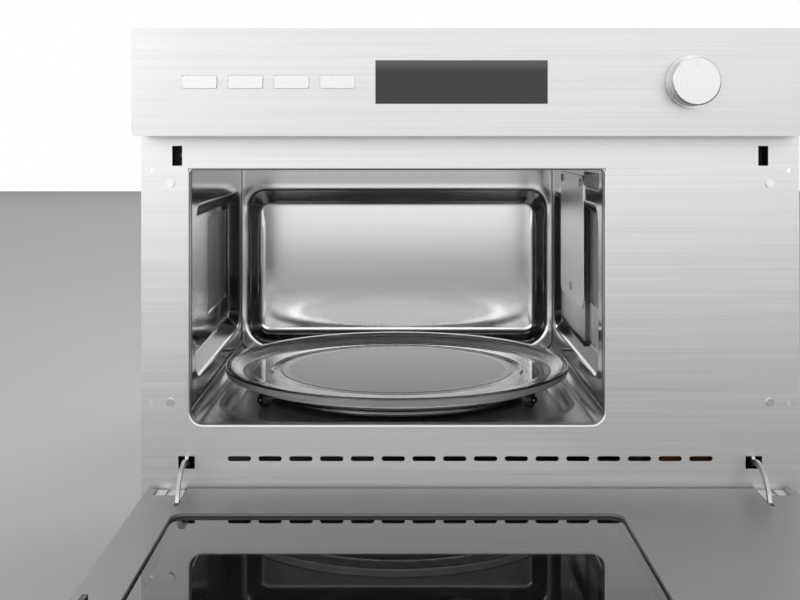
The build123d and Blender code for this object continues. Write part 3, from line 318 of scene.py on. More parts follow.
# windows in the two side walls: first y, last y, lowest z, highest z
windowsIn = {
    -1: [(-73.0, 49.0, 175.0, 275.0)],
    1: [(-153.0, -105.0, 190.0, 284.0), (-222.0, -135.0, 311.7, 322.7), (-89.0, -5.0, 233.0, 273.0)],
}

# recess: the pressing in each side wall; land: the step up to the flat behind the cover, on the right only
recess = {"y": -64.0, "z": 214.25, "halfY": 153.0, "halfZ": 80.75, "radius": 22.0, "border": 13.0, "depth": 12.0,
          "bend": 1.7}
land = {"y": -98.5, "step": 4.4, "bend": 1.2, "meeting": 0.6}
wallLines = {"coarse": 6, "y": [(-221, -190, 0.9), (-106, -90, 0.7), (62, 93, 0.9)],
             "z": [(130, 160, 0.9), (269, 299, 0.9)]}

# how a wall's finish, its painted shade and its painted highlight change over it, as (start, width) of each change
wallTone = {
    "dullInside": (6, 5), "dullHeight": (142, 12),
    "lowerTop": (3, 2), "lowerEnd": (1, 2), "lowerStart": {-1: (1.0, 1.0), 1: (1.4, 0.8)}, "lower": {-1: 0.62, 1: 0.8},
    "rearStart": (74, 8), "rearEnd": 6, "rear": 0.7,
    "stepInside": 4, "stepFrom": 0.4, "stepTo": 0.6, "step": 0.6,
    "beadRun": (6, 6), "bead": (0.2, 0.9),
}


def outsideWindows(a, b, windows):
    # keeps the grid's cells whose middle is in no window
    middleA = (a[:-1, None] + a[1:, None]) / 2
    middleB = (b[None, :-1] + b[None, 1:]) / 2
    keep = np.ones((len(a) - 1, len(b) - 1), bool)
    for lowA, highA, lowB, highB in windows:
        keep &= ~((middleA > lowA) & (middleA < highA) & (middleB > lowB) & (middleB < highB))
    return keep


def wallRecess(inside, y, side):
    # depth of the pressing; on the right the land limits it, and the two surfaces meet in a small bend
    depth = slope(inside, recess["border"], recess["depth"], recess["bend"])
    if side < 0:
        return depth
    limit = recess["depth"] - slope(y - land["y"], land["step"], land["step"], land["bend"])
    depth = (depth + limit - np.sqrt((depth - limit) ** 2 + land["meeting"] ** 2)) / 2
    return np.maximum(depth, 0)


def linerSide(side):
    # x = wall plane + side * recess depth, on a grid of depth y and height z
    tone = wallTone
    edges = [v for w in windowsIn[side] for v in w[:2]]
    heights = [v for w in windowsIn[side] for v in w[2:]]
    y = gridLines(liner["front"], liner["joint"], wallLines, "y", *edges)
    z = gridLines(liner["floor"] + liner["corner"], liner["ceiling"], wallLines, "z", *heights)
    gridY, gridZ = np.meshgrid(y, z, indexing="ij")
    awayY, awayZ = np.abs(gridY - recess["y"]), np.abs(gridZ - recess["z"])
    inside = -roundedDistance(gridY - recess["y"], gridZ - recess["z"], recess["halfY"], recess["halfZ"],
                              recess["radius"])
    x = liner["x"] + side * (liner["halfWidth"] + wallRecess(inside, gridY, side))
    points = np.stack([x, gridY, gridZ], -1).reshape(-1, 3) * mm
    keep = outsideWindows(y, z, windowsIn[side])
    piece = makeMesh("linerSide" + ("Left" if side < 0 else "Right"), points,
                     gridFaces(len(y), len(z), keep=keep, flip=side > 0))
    addValues(piece, "dull", (side > 0) * rising(inside, *tone["dullInside"]) * rising(gridZ, *tone["dullHeight"]))
    # painted shade: the rear bend, the lower slope and the step of the land are darkened by mixing in matt black, as
    # the darkest parts of the wall
    slopeTop = recess["z"] - recess["halfZ"] + recess["border"]
    lower = falling(gridZ, slopeTop + tone["lowerTop"][0], tone["lowerTop"][1]) * (awayY < recess["halfY"])
    lower *= rising(inside, *tone["lowerStart"][side]) * tone["lower"][side]
    lower *= falling(inside, recess["border"] + tone["lowerEnd"][0], tone["lowerEnd"][1])
    rear = rising(gridY, *tone["rearStart"]) * tone["rear"] * falling(awayZ, recess["halfZ"], tone["rearEnd"])
    step = (side > 0) * (inside > tone["stepInside"]) * (gridY > land["y"] + tone["stepFrom"])
    step = step * (gridY < land["y"] + land["step"] - tone["stepTo"]) * tone["step"]
    addValues(piece, "shade", np.maximum(np.maximum(lower, rear), step))
    # painted highlight: a bright line runs along the mouth of the left recess
    run = falling(awayY, recess["halfY"] - tone["beadRun"][0], tone["beadRun"][1]) * (side < 0)
    addValues(piece, "bead", run * ridge(inside, *tone["bead"]))
    return thicken(piece, liner["sheet"])


sink = {"y": -67.0, "half": 171.0, "radius": 80.0, "border": 9.5, "depth": 9.5, "bend": 3.5}
floorLines = {"coarse": 3.2, "x": [(-175, -150, 1.5), (150, 175, 1.5)], "y": [(-241, -214, 1.5), (80, 107, 1.5)]}


def linerFloor():
    # z = floor - sink depth; the two long bends run up to meet the walls
    flat = liner["halfWidth"] - liner["corner"]
    x = gridLines(-flat, flat, floorLines, "x")
    y = gridLines(liner["front"], liner["joint"], floorLines, "y")
    turn = np.linspace(0, np.pi / 2, liner["cornerSteps"] + 1)[1:]
    upX = flat + liner["corner"] * np.sin(turn)
    upZ = liner["corner"] * (1 - np.cos(turn))
    profileX = np.concatenate([-upX[::-1], x, upX])
    profileZ = np.concatenate([upZ[::-1], np.zeros(len(x)), upZ])
    gridX, gridY = np.meshgrid(profileX, y, indexing="ij")
    inside = -roundedDistance(gridX, gridY - sink["y"], sink["half"], sink["half"], sink["radius"])
    z = liner["floor"] + profileZ[:, None] - slope(inside, sink["border"], sink["depth"], sink["bend"])
    points = np.stack([gridX + liner["x"], gridY, z], -1).reshape(-1, 3) * mm
    piece = makeMesh("linerFloor", points, gridFaces(len(profileX), len(y)))
    return thicken(piece, liner["sheet"])


# rear: the mouth of the back wall's pressing; panel: its flat bottom; both are rounded rectangles
rear = {"z": 201.0, "halfX": 181.8, "halfZ": 94.0, "upper": 22.0, "lower": 30.0, "border": 15.5, "depth": 20.0,
        "bend": 4.8, "crisperTop": 3.0, "crisperOver": 20, "sideBend": 0.4, "sideSteps": 6, "weld": 0.01}
panel = {"z": 198.7, "halfX": 166.8, "halfZ": 78.7, "radius": 10.0}
backLines = {"coarse": 6, "x": [(-183.5, -152, 0.9), (152, 183.5, 0.9)], "z": [(103, 142, 0.9), (262, 298, 0.9)]}
# where the paler panel starts, the painted highlights along the bends and upright corners, and the painted shade on
# the slopes
backTone = {"satin": (1, 2.5), "beadWidth": 2.5, "mouthBead": -2.9, "panelBead": 2.4, "edgeOver": 2, "edge": 0.25,
            "shadeStart": (0.3, 1.5), "shadeEnd": (0.5, 2.0)}


def linerBack():
    # y = back wall + recess depth; the sides turn forward round an upright bend, the foot runs along the floor
    bend, half, border = rear["sideBend"], liner["halfWidth"], rear["border"]
    flat = gridLines(-half + bend, half - bend, backLines, "x")
    turn = np.linspace(0, np.pi / 2, rear["sideSteps"] + 1)[1:]
    sideX = np.concatenate([half - bend + bend * np.sin(turn), [half]])
    sideY = np.concatenate([bend * (1 - np.cos(turn)), [liner["back"] - liner["joint"]]])
    x = np.concatenate([-sideX[::-1], flat, sideX])
    forward = np.concatenate([sideY[::-1], np.zeros(len(flat)), sideY])
    z = gridLines(liner["floor"], liner["ceiling"], backLines, "z")
    gridX, gridZ = np.meshgrid(x, z, indexing="ij")
    up = gridZ - rear["z"]
    mouth = -roundedDistance(gridX, up, rear["halfX"], rear["halfZ"], np.where(up > 0, rear["upper"], rear["lower"]))
    tip = roundedDistance(gridX, gridZ - panel["z"], panel["halfX"], panel["halfZ"], panel["radius"])
    # share runs from 0 at the mouth to border at the panel's edge, and on over the panel
    share = np.where(tip > 0, mouth / np.maximum(mouth + tip, 1e-6), 1 - tip / border) * border
    bendHere = rear["bend"] - rear["crisperTop"] * rising(up, rear["halfZ"] / 2, rear["crisperOver"])
    y = liner["back"] - forward[:, None] + slope(share, border, rear["depth"], bendHere)
    points = np.stack([gridX + liner["x"], y, gridZ], -1)
    foot = points[:, :1].copy()
    foot[..., 1] = liner["joint"]
    points = np.concatenate([foot, points], 1)
    piece = makeMesh("linerBack", points.reshape(-1, 3) * mm, gridFaces(len(x), len(z) + 1))
    tone = backTone
    # painted highlights along the mouth, along the panel's edge and at the upright corners; painted shade on the
    # slopes
    highlights = ridge(share, tone["mouthBead"], tone["beadWidth"]) + ridge(share, border + tone["panelBead"],
                                                                      tone["beadWidth"])
    edge = np.minimum(rising(np.abs(gridX), half - tone["edgeOver"], tone["edgeOver"]), tone["edge"])
    values = {
        "satin": rising(share, border + tone["satin"][0], tone["satin"][1]),
        "bead": np.clip(highlights + edge, 0, 1),
        "shade": rising(share, *tone["shadeStart"]) * falling(share, border - tone["shadeEnd"][0],
                                                              tone["shadeEnd"][1]),
    }
    for name, value in values.items():
        addValues(piece, name, np.concatenate([value[:, :1], value], 1))
    piece.modifiers.new("joined", "WELD").merge_threshold = rear["weld"] * mm
    return thicken(piece, liner["sheet"])


# each screen: its side, the window that it fills, x of its face, radius of its holes
screens = {
    "ventScreenLeft": {"side": -1, "window": 0, "x": -265.7, "radius": 1.0},
    "ventScreenRight": {"side": 1, "window": 0, "x": 133.3, "radius": 0.6},
    "ventScreenLamp": {"side": 1, "window": 1, "x": 121.3, "radius": 0.6},
}
screenPitch = 3.0


def perforatedSheet(name, side, window, x, radius):
    # a lattice of square cells, each with a round hole: a ring of eight quads joins cell and hole
    near, far, low, high = windowsIn[side][window]
    columns = int(round((far - near) / screenPitch))
    rows = int(round((high - low) / screenPitch))
    stepU, stepV = (far - near) / columns, (high - low) / rows
    u, v = np.meshgrid(np.arange(2 * columns + 1) * stepU / 2, np.arange(2 * rows + 1) * stepV / 2, indexing="ij")
    lattice = np.stack([u, v], -1).reshape(-1, 2)
    around = np.array([(-1, -1), (0, -1), (1, -1), (1, 0), (1, 1), (0, 1), (-1, 1), (-1, 0)])
    angle = np.arctan2(around[:, 1], around[:, 0])
    cellU, cellV = np.meshgrid(np.arange(columns), np.arange(rows), indexing="ij")
    centre = np.stack([(cellU + 0.5) * stepU, (cellV + 0.5) * stepV], -1).reshape(-1, 1, 2)
    holes = centre + radius * np.stack([np.cos(angle), np.sin(angle)], -1)
    flat = np.concatenate([lattice, holes.reshape(-1, 2)])
    outer = (2 * cellU[..., None] + 1 + around[:, 0]) * (2 * rows + 1) + 2 * cellV[..., None] + 1 + around[:, 1]
    outer = outer.reshape(-1, 8)
    inner = len(lattice) + np.arange(len(outer) * 8).reshape(-1, 8)
    quads = np.stack([outer, np.roll(outer, -1, 1), np.roll(inner, -1, 1), inner], -1).reshape(-1, 4)
    # the sheet faces into the cavity, so its lattice runs back from the door on the left, and forward on the right
    y = near + flat[:, 0] if side < 0 else far - flat[:, 0]
    points = np.stack([np.full(len(flat), x), y, low + flat[:, 1]], -1)
    used = np.unique(quads)
    fresh = np.full(len(points), -1)
    fresh[used] = np.arange(len(used))
    piece = makeMesh(name, points[used] * mm, fresh[quads], smooth=False)
    return thicken(piece, liner["sheet"])


# Turntable: outlines turned round the spindle

arcPoints = 6


def roundedOutline(corners):
    # an outline of straight runs; each corner (radius, height, bend) is replaced by an arc of that bend
    corners = [np.array(c, float) for c in corners]
    out = []
    for index, corner in enumerate(corners):
        here, bend = corner[:2], corner[2]
        if bend <= 0:
            out.append(here[None])
            continue
        before, after = corners[index - 1][:2], corners[(index + 1) % len(corners)][:2]
        a = (before - here) / np.linalg.norm(before - here)
        b = (after - here) / np.linalg.norm(after - here)
        half = math.acos(float(np.clip(a @ b, -1, 1))) / 2
        reach = bend / math.tan(half)
        middle = here + (a + b) / np.linalg.norm(a + b) * bend / math.sin(half)
        start = here + a * reach - middle
        end = here + b * reach - middle
        turn = math.atan2(start[0] * end[1] - start[1] * end[0], start @ end)
        t = np.linspace(0, turn, arcPoints)[:, None]
        out.append(middle + np.concatenate([start[0] * np.cos(t) - start[1] * np.sin(t),
                                            start[0] * np.sin(t) + start[1] * np.cos(t)], 1))
    return np.concatenate(out)


def turned(outline, steps):
    # an outline of (radius, height) turned once round the upright axis
    angle = np.linspace(0, 2 * np.pi, steps, endpoint=False)
    r, h = outline[:, 0], outline[:, 1]
    return np.stack([np.cos(angle)[:, None] * r, np.sin(angle)[:, None] * r,
                     np.broadcast_to(h, (steps, len(h)))], -1)


def closePoles(piece):
    # fills the small round openings left at the axes and points the normals outwards
    shape = bmesh.new()
    shape.from_mesh(piece.data)
    bmesh.ops.holes_fill(shape, edges=[e for e in shape.edges if e.is_boundary], sides=0)
    bmesh.ops.recalc_face_normals(shape, faces=shape.faces)
    for face in shape.faces:
        face.smooth = True
    shape.to_mesh(piece.data)
    shape.free()


# heights are above z: under the middle (radii), rim (radius, height, bend) from the track outwards and back over the
# top, floor (radius, height) with its two fine rings
plate = {
    "x": -66.2, "y": -67.0, "z": 106.1, "steps": 288,
    "track": 3.4, "under": (0.6, 60, 110, 134),
    "rim": [(138, 3.4, 1.0), (141.5, 0, 1.0), (157, 0, 4), (179.0, 8.7, 1.6), (180.0, 13.1, 1.6), (180.0, 16.7, 1.5),
            (174.0, 16.4, 1.4), (162, 9.2, 7), (158.6, 9.2, 0), (157.0, 9.2, 0), (136.0, 9.2, 0), (133.0, 9.2, 2.0),
            (129.0, 9.25, 2.0)],
    "floor": [(121.2, 9.25), (120.9, 9.25), (120.5, 9.22), (120.2, 9.22), (116.0, 9.22), (115.0, 9.22), (114.7, 9.25),
              (114.1, 9.25), (113.8, 9.22), (113.4, 9.22), (110.0, 9.22), (60, 9.22), (0.6, 9.22)],
}


def turntablePlate():
    under = [(radius, plate["track"]) for radius in plate["under"]]
    outline = np.concatenate([under, roundedOutline(plate["rim"]), plate["floor"]])
    points = turned(outline, plate["steps"]).reshape(-1, 3) + (plate["x"], plate["y"], plate["z"])
    piece = makeMesh("turntablePlate", points * mm, gridFaces(plate["steps"], len(outline), wrapRows=True))
    closePoles(piece)
    return piece


# axle and cap of each roller: first and last distance from the spindle, radius
rollerRing = {"radius": 136.0, "halfWidth": 4.0, "halfHeight": 2.5, "bend": 2.2, "z": 98.3, "steps": 192,
              "angles": (-150, -30, 90), "axle": (134.0, 159.3, 1.5), "cap": (156.3, 159.3, 3.0), "rodSteps": 24,
              "pole": 0.3, "crispAngle": 50}


def turntableRing():
    # rounded ring with an axle and end cap for each of the three rollers
    r = rollerRing
    half, bend, steps = r["halfHeight"], r["bend"], r["rodSteps"]
    inner, outer = r["radius"] - r["halfWidth"], r["radius"] + r["halfWidth"]
    section = roundedOutline([(inner, -half, bend), (outer, -half, bend), (outer, half, bend), (inner, half, bend)])
    section = np.concatenate([section, section[:1]])
    points = [turned(section, r["steps"]).reshape(-1, 3)]
    faces = [gridFaces(r["steps"], len(section), wrapRows=True)]
    for angle in np.radians(r["angles"]):
        for start, end, radius in (r["axle"], r["cap"]):
            shape = turned(np.array([(r["pole"], start), (radius, start), (radius, end), (r["pole"], end)]), steps)
            along, across, up = shape[..., 2], shape[..., 0], shape[..., 1]
            rod = np.stack([along * np.cos(angle) - across * np.sin(angle),
                            along * np.sin(angle) + across * np.cos(angle), up], -1).reshape(-1, 3)
            faces.append(gridFaces(steps, shape.shape[1], wrapRows=True) + sum(len(p) for p in points))
            points.append(rod)
    points = np.concatenate(points) + (plate["x"], plate["y"], r["z"])
    piece = makeMesh("turntableRing", points * mm, np.concatenate(faces))
    closePoles(piece)
    piece.modifiers.new("crisp", "EDGE_SPLIT").split_angle = math.radians(r["crispAngle"])
    return piece


leftSide = linerSide(-1)
rightSide = linerSide(1)
floorSheet = linerFloor()
backSheet = linerBack()
screenPieces = [perforatedSheet(name, **values) for name, values in screens.items()]
plateGlass = turntablePlate()
ringPiece = turntableRing()
for piece in (leftSide, rightSide, floorSheet, backSheet, *screenPieces):
    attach(piece, "cabinet")
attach(plateGlass, "turntable")
for piece in (leftSide, rightSide, floorSheet):
    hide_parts("cavity_wrap")
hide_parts("cavity_back")
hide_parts("left_vent_screen")
for piece in screenPieces[1:]:
    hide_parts("right_vent_screens")
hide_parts("turntable_glass")
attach(ringPiece, "ring")
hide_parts("roller_ring")
print("stage 3: liner, screens, plate and ring made")


# Finishes

# where each zone of the plate starts and ends: radii and heights in metres
plateZones = {
    "middle": (0.1135, 0.1150), "innerRing": (0.1203, 0.1210), "outerRing": (0.1305, 0.1320),
    "pale": (0.1310, 0.1330), "floorHeight": (0.1108, 0.1114),
    "wallStart": (0.150, 0.153), "rimStart": (0.1755, 0.1765), "rimHeight": (0.1190, 0.1196),
    "slant": (0.0304, 0.0310), "slantRate": 0.5,
    "lipStart": (0.1698, 0.1704), "lipEnd": (0.1728, 0.1734),
    "faceStart": (0.1778, 0.1786), "faceTop": (0.1204, 0.1212),
    "footStart": (0.147, 0.150), "footTop": (0.1072, 0.1080),
}
# edge: the dark tint of the rim and foot, painted shade
plateLook = {
    "clear": (0.93, 0.95, 0.945), "frosted": (0.50, 0.51, 0.505), "edge": (0.16, 0.17, 0.17),
    "haze": (0.80, 0.81, 0.80), "hazeRoughness": 0.3, "even": (0.17, 0.17, 0.17), "dull": (0.03, 0.03, 0.03),
    "mattRoughness": 0.42, "shadow": (0.86, 0.88, 0.87),
    "roughness": 0.03, "underRoughness": 0.35, "middleRoughness": 0.10, "wallRoughness": 0.04,
    "underHaze": 0.02, "ringHaze": 0.03, "wallHaze": 0.28, "innerWallHaze": 0.22, "faceHaze": 0.5,
    "evenShare": 0.45, "dullShare": 0.5,
    "ribScale": 600.0, "ribStretch": (1, 1, 0.2), "ribBump": (0.6, 0.0003),
    "gritScale": 1400.0, "gritBump": (0.2, 0.0001), "noiseRoughness": 0.6,
}


def frostedPlateGlass():
    # pressed glass: clear rim, hazy floor, frosted middle, with the rim and foot tinted dark as painted shade; shadow
    # rays pass so that the floor below stays lit
    shop = newMaterial("plateGlass")
    zones, look = plateZones, plateLook
    x, y, z = shop.split(shop.place(offset=(-plate["x"] * mm, -plate["y"] * mm, 0)))
    radius = (x * x + y * y) ** 0.5
    middle = radius.drop(*zones["middle"])
    rings = radius.drop(*zones["innerRing"]) * look["ringHaze"] + radius.drop(*zones["outerRing"]) * look["ringHaze"]
    over = z.ramp(*zones["floorHeight"])
    under = 1 - over
    wall = radius.ramp(*zones["wallStart"]) * radius.drop(*zones["rimStart"])
    inner = shop.math("MINIMUM", over, (z - radius * zones["slantRate"]).ramp(*zones["slant"]))
    lip = radius.ramp(*zones["lipStart"]) * radius.drop(*zones["lipEnd"]) * inner
    rim = shop.math("MAXIMUM", radius.ramp(*zones["rimStart"]) * z.ramp(*zones["rimHeight"]), lip)
    face = radius.ramp(*zones["faceStart"]) * z.drop(*zones["faceTop"])
    foot = radius.ramp(*zones["footStart"]) * z.drop(*zones["footTop"])
    ribs = shop.noise(look["ribScale"], roughness=look["noiseRoughness"], stretch=look["ribStretch"])
    grit = shop.noise(look["gritScale"], roughness=look["noiseRoughness"])
    # painted shade: the rim and the foot are tinted dark
    tint = shop.mix(shop.math("MAXIMUM", rim, foot), shop.mix(middle, look["clear"], look["frosted"]), look["edge"])
    clear = shop.principled(
        Base_Color=tint, IOR=clearGlass["index"], Transmission_Weight=1.0,
        Roughness=look["roughness"] + middle * (under * look["underRoughness"] + look["middleRoughness"])
        + wall * look["wallRoughness"],
        Normal=shop.bump(ribs * shop.math("MAXIMUM", wall, face), *look["ribBump"]))
    haze = shop.principled(Base_Color=look["haze"], Roughness=look["hazeRoughness"],
                           Normal=shop.bump(grit, *look["gritBump"]))
    even = shop.principled(Base_Color=look["even"], Roughness=look["mattRoughness"])
    dull = shop.principled(Base_Color=look["dull"], Roughness=look["mattRoughness"])
    hazy = (under * (middle * look["underHaze"] + rings) + face * look["faceHaze"]
            + wall * (1 - foot) * (look["wallHaze"] - inner * look["innerWallHaze"]))
    body = shop.mixShader(hazy, clear, haze)
    body = shop.mixShader((radius.drop(*zones["pale"]) - middle) * over * look["evenShare"], body, even)
    body = shop.mixShader(middle * over * look["dullShare"], body, dull)
    ghost = shop.node("BsdfTransparent", Color=look["shadow"])["BSDF"]
    return shop.finish(shop.mixShader(shop.node("LightPath")["Is Shadow Ray"], body, ghost))


ringLook = {"dark": (0.15, 0.15, 0.15), "light": (0.18, 0.18, 0.18), "roughness": (0.08, 0.04)}


def ringPlastic():
    # glossy ring with a dark metallic sheen
    shop = newMaterial("ringGrey")
    cloud = shop.noise(moulded["cloudScale"])
    base, change = ringLook["roughness"]
    return shop.finish(shop.principled(Base_Color=shop.mix(cloud, ringLook["dark"], ringLook["light"]), Metallic=1.0,
                                       Roughness=base + cloud * change))


enamel = {"pitch": 500, "hole": (0.07, 0.11), "sheet": (0.05, 0.05, 0.05), "inHole": (0.002, 0.002, 0.002),
          "roughness": (0.35, 0.5)}


def perforatedBlack():
    # black enamelled sheet with fine round holes
    shop = newMaterial("screenEnamel")
    x, y, _ = shop.split(shop.place((enamel["pitch"],) * 3))
    u, v = shop.math("FRACT", x) - 0.5, shop.math("FRACT", y) - 0.5
    hole = (u * u + v * v).drop(*enamel["hole"])
    base, change = enamel["roughness"]
    return shop.finish(shop.principled(Base_Color=shop.mix(hole, enamel["sheet"], enamel["inHole"]),
                                       Roughness=base + hole * change))


screenLook = {"dark": (0.90, 0.90, 0.89), "light": (0.96, 0.96, 0.95), "cloudScale": 40.0, "cloudDetail": 3.0,
              "metallic": 0.1, "roughness": (0.6, 0.06)}


def screenSteel():
    # perforated sheet with a dull pale finish
    shop = newMaterial("screenSteel")
    cloud = shop.noise(screenLook["cloudScale"], screenLook["cloudDetail"])
    base, change = screenLook["roughness"]
    return shop.finish(shop.principled(Base_Color=shop.mix(cloud, screenLook["dark"], screenLook["light"]),
                                       Metallic=screenLook["metallic"], Roughness=base + cloud * change))


coilLook = {"turns": 5200.0, "dark": (0.30, 0.11, 0.04), "light": (0.62, 0.28, 0.12), "metallic": 0.9,
            "roughness": 0.35, "bump": (0.5, 0.0003)}


def coil():
    # lacquered copper turns wound flat round the core
    shop = newMaterial("copperTurns")
    height = shop.split(shop.place())[2]
    turns = shop.math("SINE", height * coilLook["turns"]) * 0.5 + 0.5
    return shop.finish(shop.principled(
        Base_Color=shop.mix(turns, coilLook["dark"], coilLook["light"]), Metallic=coilLook["metallic"],
        Roughness=coilLook["roughness"], Normal=shop.bump(turns, *coilLook["bump"])))


# shade: the matt black of the painted shade; dull: the paler, rougher steel of the right recess floor
wallSteel = {"polished": (0.48, 0.475, 0.47), "dull": (0.90, 0.895, 0.89), "shade": (0.03, 0.03, 0.03),
             "roughness": (0.12, 0.42), "uneven": 0.03, "beadMatt": 0.5}


def wallSheetSteel():
    # polished sheet, paler and duller over the floor of the right recess, the land behind the cover included; matt
    # black is mixed in as painted shade, and a pale, less metallic tone as painted highlight
    shop = newMaterial("wallSteel")
    dull, shade, bead = (shop.attribute(name) for name in ("dull", "shade", "bead"))
    streaks = grain(shop, "z")
    polishedRoughness, dullRoughness = wallSteel["roughness"]
    bright = shop.principled(
        Metallic=1.0 - bead * wallSteel["beadMatt"],
        Base_Color=shop.mix(shop.math("MAXIMUM", dull, bead), wallSteel["polished"], wallSteel["dull"]),
        Roughness=dull * (dullRoughness - polishedRoughness) + polishedRoughness
        + (streaks - 0.5) * wallSteel["uneven"])
    # painted shade: a matt black shader mixed in by the shade values
    dark = shop.principled(Base_Color=wallSteel["shade"], Roughness=1.0, Specular_IOR_Level=0.0)
    return shop.finish(shop.mixShader(shade, bright, dark))


# polished: a tone darker than the steel's own, painted shade on the border and slopes; satin: the paler panel; shade:
# painted shade
backSteel = {"polished": (0.34, 0.335, 0.33), "satin": (0.82, 0.815, 0.81), "bead": (0.95, 0.945, 0.94),
             "shade": (0.34, 0.34, 0.34), "roughness": 0.13, "uneven": 0.02, "beadMatt": 0.35}


def backSheetSteel():
    # a polished sheet with a paler recessed panel; its border and slopes are given a darker tone as painted shade, and
    # its bends and upright corners a pale one as painted highlight
    shop = newMaterial("backSteel")
    satin, bead, shade = (shop.attribute(name) for name in ("satin", "bead", "shade"))
    cloud = shop.noise(sheet["cloudScale"], sheet["cloudDetail"])
    # painted shade: the border and slopes take the dark tone
    tone = shop.mix(shade, shop.mix(satin, backSteel["polished"], backSteel["satin"]), backSteel["shade"])
    return shop.finish(shop.principled(
        Base_Color=shop.mix(bead, tone, backSteel["bead"]), Metallic=1.0 - bead * backSteel["beadMatt"],
        Roughness=backSteel["roughness"] + (cloud - 0.5) * backSteel["uneven"]))


faceSteel = {"roughness": 0.36, "axis": "x", "streak": 0.08, "fine": 1300, "coarse": 260}

# colour, roughness, axis of the streaks, their strength
steels = {
    "faceSteel": steel("faceSteel", (0.70, 0.695, 0.69), **faceSteel),
    "fasciaSteel": steel("fasciaSteel", (0.60, 0.595, 0.59), **faceSteel),
    "floorSteel": steel("floorSteel", (0.42, 0.415, 0.41), 0.24, "y", 0.01, bumpDepth=0.000001, uneven=0.1,
                        metallic=0.7),
    "screenDark": steel("screenDark", (0.28, 0.28, 0.275), 0.28, "z", 0.02),
    "coverMica": steel("coverMica", (0.96, 0.955, 0.94), 0.36, "z", 0.02, mottle=0.1),
    "zincSheet": steel("zincSheet", (0.53, 0.54, 0.55), 0.42, "y", 0.04, mottle=0.2),
    "hingeSteel": steel("hingeSteel", (0.50, 0.50, 0.51), 0.38, "z", 0.05),
    "screwSteel": steel("screwSteel", (0.72, 0.72, 0.72), 0.25, "x", 0.03),
    "motorSteel": steel("motorSteel", (0.55, 0.56, 0.57), 0.35, "z", 0.04, mottle=0.1),
    "aluminium": steel("aluminium", (0.80, 0.80, 0.81), 0.30, "x", 0.05),
    "knobMetal": steel("knobMetal", (0.60, 0.60, 0.61), 0.28, "y", 0.04),
    "coreSteel": steel("coreSteel", (0.30, 0.30, 0.31), 0.5, "z", 0.2, fine=1800),
}

# plastic: colour, roughness, scale and depth of the grit, variation; glass: colour, roughness, transmission
finishes = {
    **steels,
    "wallSteel": wallSheetSteel(),
    "backSteel": backSheetSteel(),
    "blackPlastic": plastic("blackPlastic", (0.022, 0.022, 0.023), 0.45),
    "rollerBlack": plastic("rollerBlack", (0.016, 0.016, 0.017), 0.22, 500.0, 0.00002),
    "ringGrey": ringPlastic(),
    "chokeGrey": plastic("chokeGrey", (0.40, 0.40, 0.40), 0.4),
    "clipGrey": plastic("clipGrey", (0.78, 0.78, 0.77), 0.6),
    "paleMoulding": plastic("paleMoulding", (0.70, 0.70, 0.67), 0.45),
    "boardGreen": plastic("boardGreen", (0.03, 0.16, 0.07), 0.35, 300.0, 0.0001, 0.3),
    "blackGlass": tintedGlass("blackGlass", (0.008, 0.008, 0.009), 0.03, 0.0),
    "innerGlass": tintedGlass("innerGlass", (0.10, 0.10, 0.10), 0.02, 0.85),
    "bulbGlass": tintedGlass("bulbGlass", (0.95, 0.94, 0.90), 0.03, 0.8),
    "plateGlass": frostedPlateGlass(),
    "screenEnamel": perforatedBlack(),
    "screenSteel": screenSteel(),
    "copperTurns": coil(),
}

wears = {
    "faceSteel": ["front_frame"],
    "fasciaSteel": ["control_fascia"],
    "wallSteel": ["cavity_wrap"],
    "screenSteel": ["left_vent_screen", "right_vent_screens"],
    "backSteel": ["cavity_back", "cavity_ceiling"],
    "zincSheet": ["casing_wrap", "base_plate", "rear_panel", "waveguide", "exhaust_duct", "lamp_holder", "door_tray"],
    "hingeSteel": ["hinge_blocks", "hinge_brackets", "check_arms", "thermal_cutouts"],
    "coreSteel": ["transformer_core"],
    "screwSteel": ["case_screws"],
    "motorSteel": ["turntable_motor", "fan_motor", "magnetron", "magnetron_filter_box"],
    "aluminium": ["magnetron_fins", "capacitor", "door_grip"],
    "knobMetal": ["control_knob", "push_button_1", "push_button_2", "push_button_3", "push_button_4"],
    "blackPlastic": ["cord_gland", "drive_coupler", "fan_housing", "door_switches",
                     "latch_housings", "control_carrier", "latch_hook_left", "latch_hook_right"],
    "rollerBlack": ["roller_1", "roller_2", "roller_3"],
    "ringGrey": ["roller_ring"],
    "chokeGrey": ["door_choke_cover"],
    "paleMoulding": ["terminal_block", "switch_plunger_left", "switch_plunger_right", "air_duct", "fan_wheel"],
    "boardGreen": ["control_board"],
    "blackGlass": ["display_lens", "door_front_glass"],
    "innerGlass": ["door_inner_glass"],
    "bulbGlass": ["lamp"],
    "plateGlass": ["turntable_glass"],
    "screenEnamel": ["door_screen"],
    "coverMica": ["waveguide_cover"],
    "clipGrey": ["waveguide_cover_clips"],
    "copperTurns": ["transformer_windings"],
}
sceneWears = {
    "wallSteel": [leftSide, rightSide],
    "floorSteel": [floorSheet],
    "screenDark": screenPieces[:1],
    "screenSteel": screenPieces[1:],
    "backSteel": [backSheet],
    "plateGlass": [plateGlass],
    "ringGrey": [ringPiece],
}


def dress(thing, finish):
    thing.data.materials.clear()
    thing.data.materials.append(finish)


for finish, members in wears.items():
    for node in members:
        dress(nodes[node], finishes[finish])
for finish, members in sceneWears.items():
    for piece in members:
        dress(piece, finishes[finish])
print("stage 4: finishes on")


# Studio: pale floor, white surroundings, soft lamps

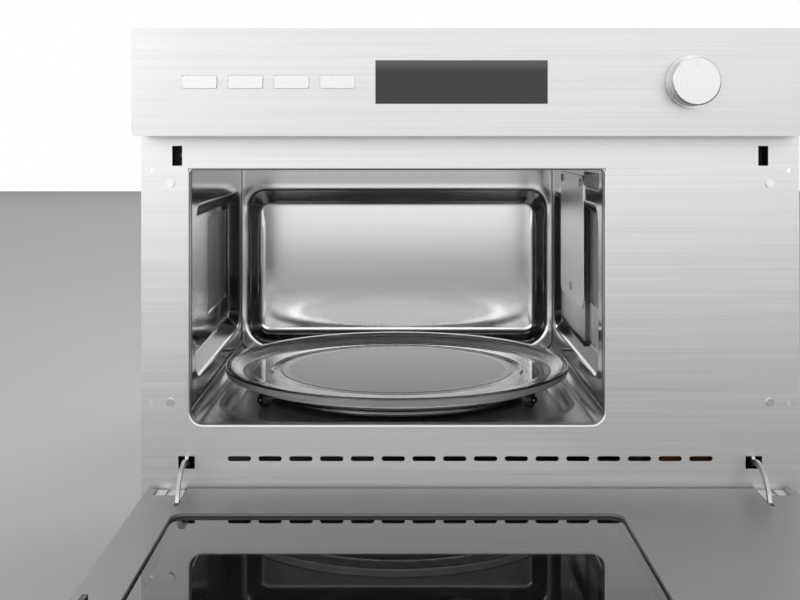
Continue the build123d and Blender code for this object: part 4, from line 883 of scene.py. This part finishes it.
studio = {
    "floor": (0.80, 0.80, 0.80), "floorHalf": 6.0, "speckScale": 3.0, "speckDarker": 0.98,
    "surround": 1.0, "fill": 0.12,
    "lamps": [
        {"name": "softTop", "at": (-0.1, 0.5, 2.2), "aim": (-0.06, 0.4, 0.2), "size": (1.8, 1.2), "power": 17},
        {"name": "softFront", "at": (-0.1, -3.4, 1.1), "aim": (-0.1, 0.0, 1.1), "size": (4.8, 2.2), "power": 18},
        {"name": "softLeft", "at": (-1.3, -1.9, 0.7), "aim": (0.12, -0.12, 0.22), "size": (0.8, 0.8), "power": 4},
        {"name": "softFar", "at": (-0.1, -3.0, 0.6), "aim": (-0.1, -3.0, 0.0), "size": (4.0, 1.0), "power": 17},
        {"name": "softRear", "at": (-0.4, 4.0, 2.6), "aim": (-0.4, 4.0, 0.0), "size": (8.0, 5.0), "power": 70},
    ],
}


def studioFloor():
    half = studio["floorHalf"]
    points = np.array([(-half, -half, 0), (half, -half, 0), (half, half, 0), (-half, half, 0)], float)
    floor = makeMesh("studioFloor", points, np.array([[0, 1, 2, 3]]), smooth=False)
    shop = newMaterial("studioFloor")
    darker = tuple(c * studio["speckDarker"] for c in studio["floor"])
    dress(floor, shop.finish(shop.principled(
        Base_Color=shop.mix(shop.noise(studio["speckScale"]), studio["floor"], darker), Roughness=1.0,
        Specular_IOR_Level=0.0)))


def surroundings():
    # white where it is seen, directly or in a reflection; as a light it is only a weak fill
    world = bpy.data.worlds.new("surroundings")
    bpy.context.scene.world = world
    shop = Shop(world)
    ray = shop.node("LightPath")
    seen = shop.math("MAXIMUM", ray["Is Camera Ray"], ray["Is Glossy Ray"])
    seen = shop.math("MAXIMUM", seen, ray["Is Transmission Ray"])
    strength = seen * (studio["surround"] - studio["fill"]) + studio["fill"]
    shop.finish(shop.node("Background", Color=(1, 1, 1), Strength=strength)["Background"], "OutputWorld")


def softLamps():
    for lamp in studio["lamps"]:
        data = bpy.data.lights.new(lamp["name"], "AREA")
        data.shape, data.size, data.size_y, data.energy = "RECTANGLE", *lamp["size"], lamp["power"]
        made = bpy.data.objects.new(lamp["name"], data)
        bpy.context.scene.collection.objects.link(made)
        made.location = lamp["at"]
        made.visible_camera = False
        made.rotation_euler = (Vector(lamp["aim"]) - Vector(lamp["at"])).to_track_quat("-Z", "Y").to_euler()


studioFloor()
surroundings()
softLamps()
print("stage 5: studio lit")
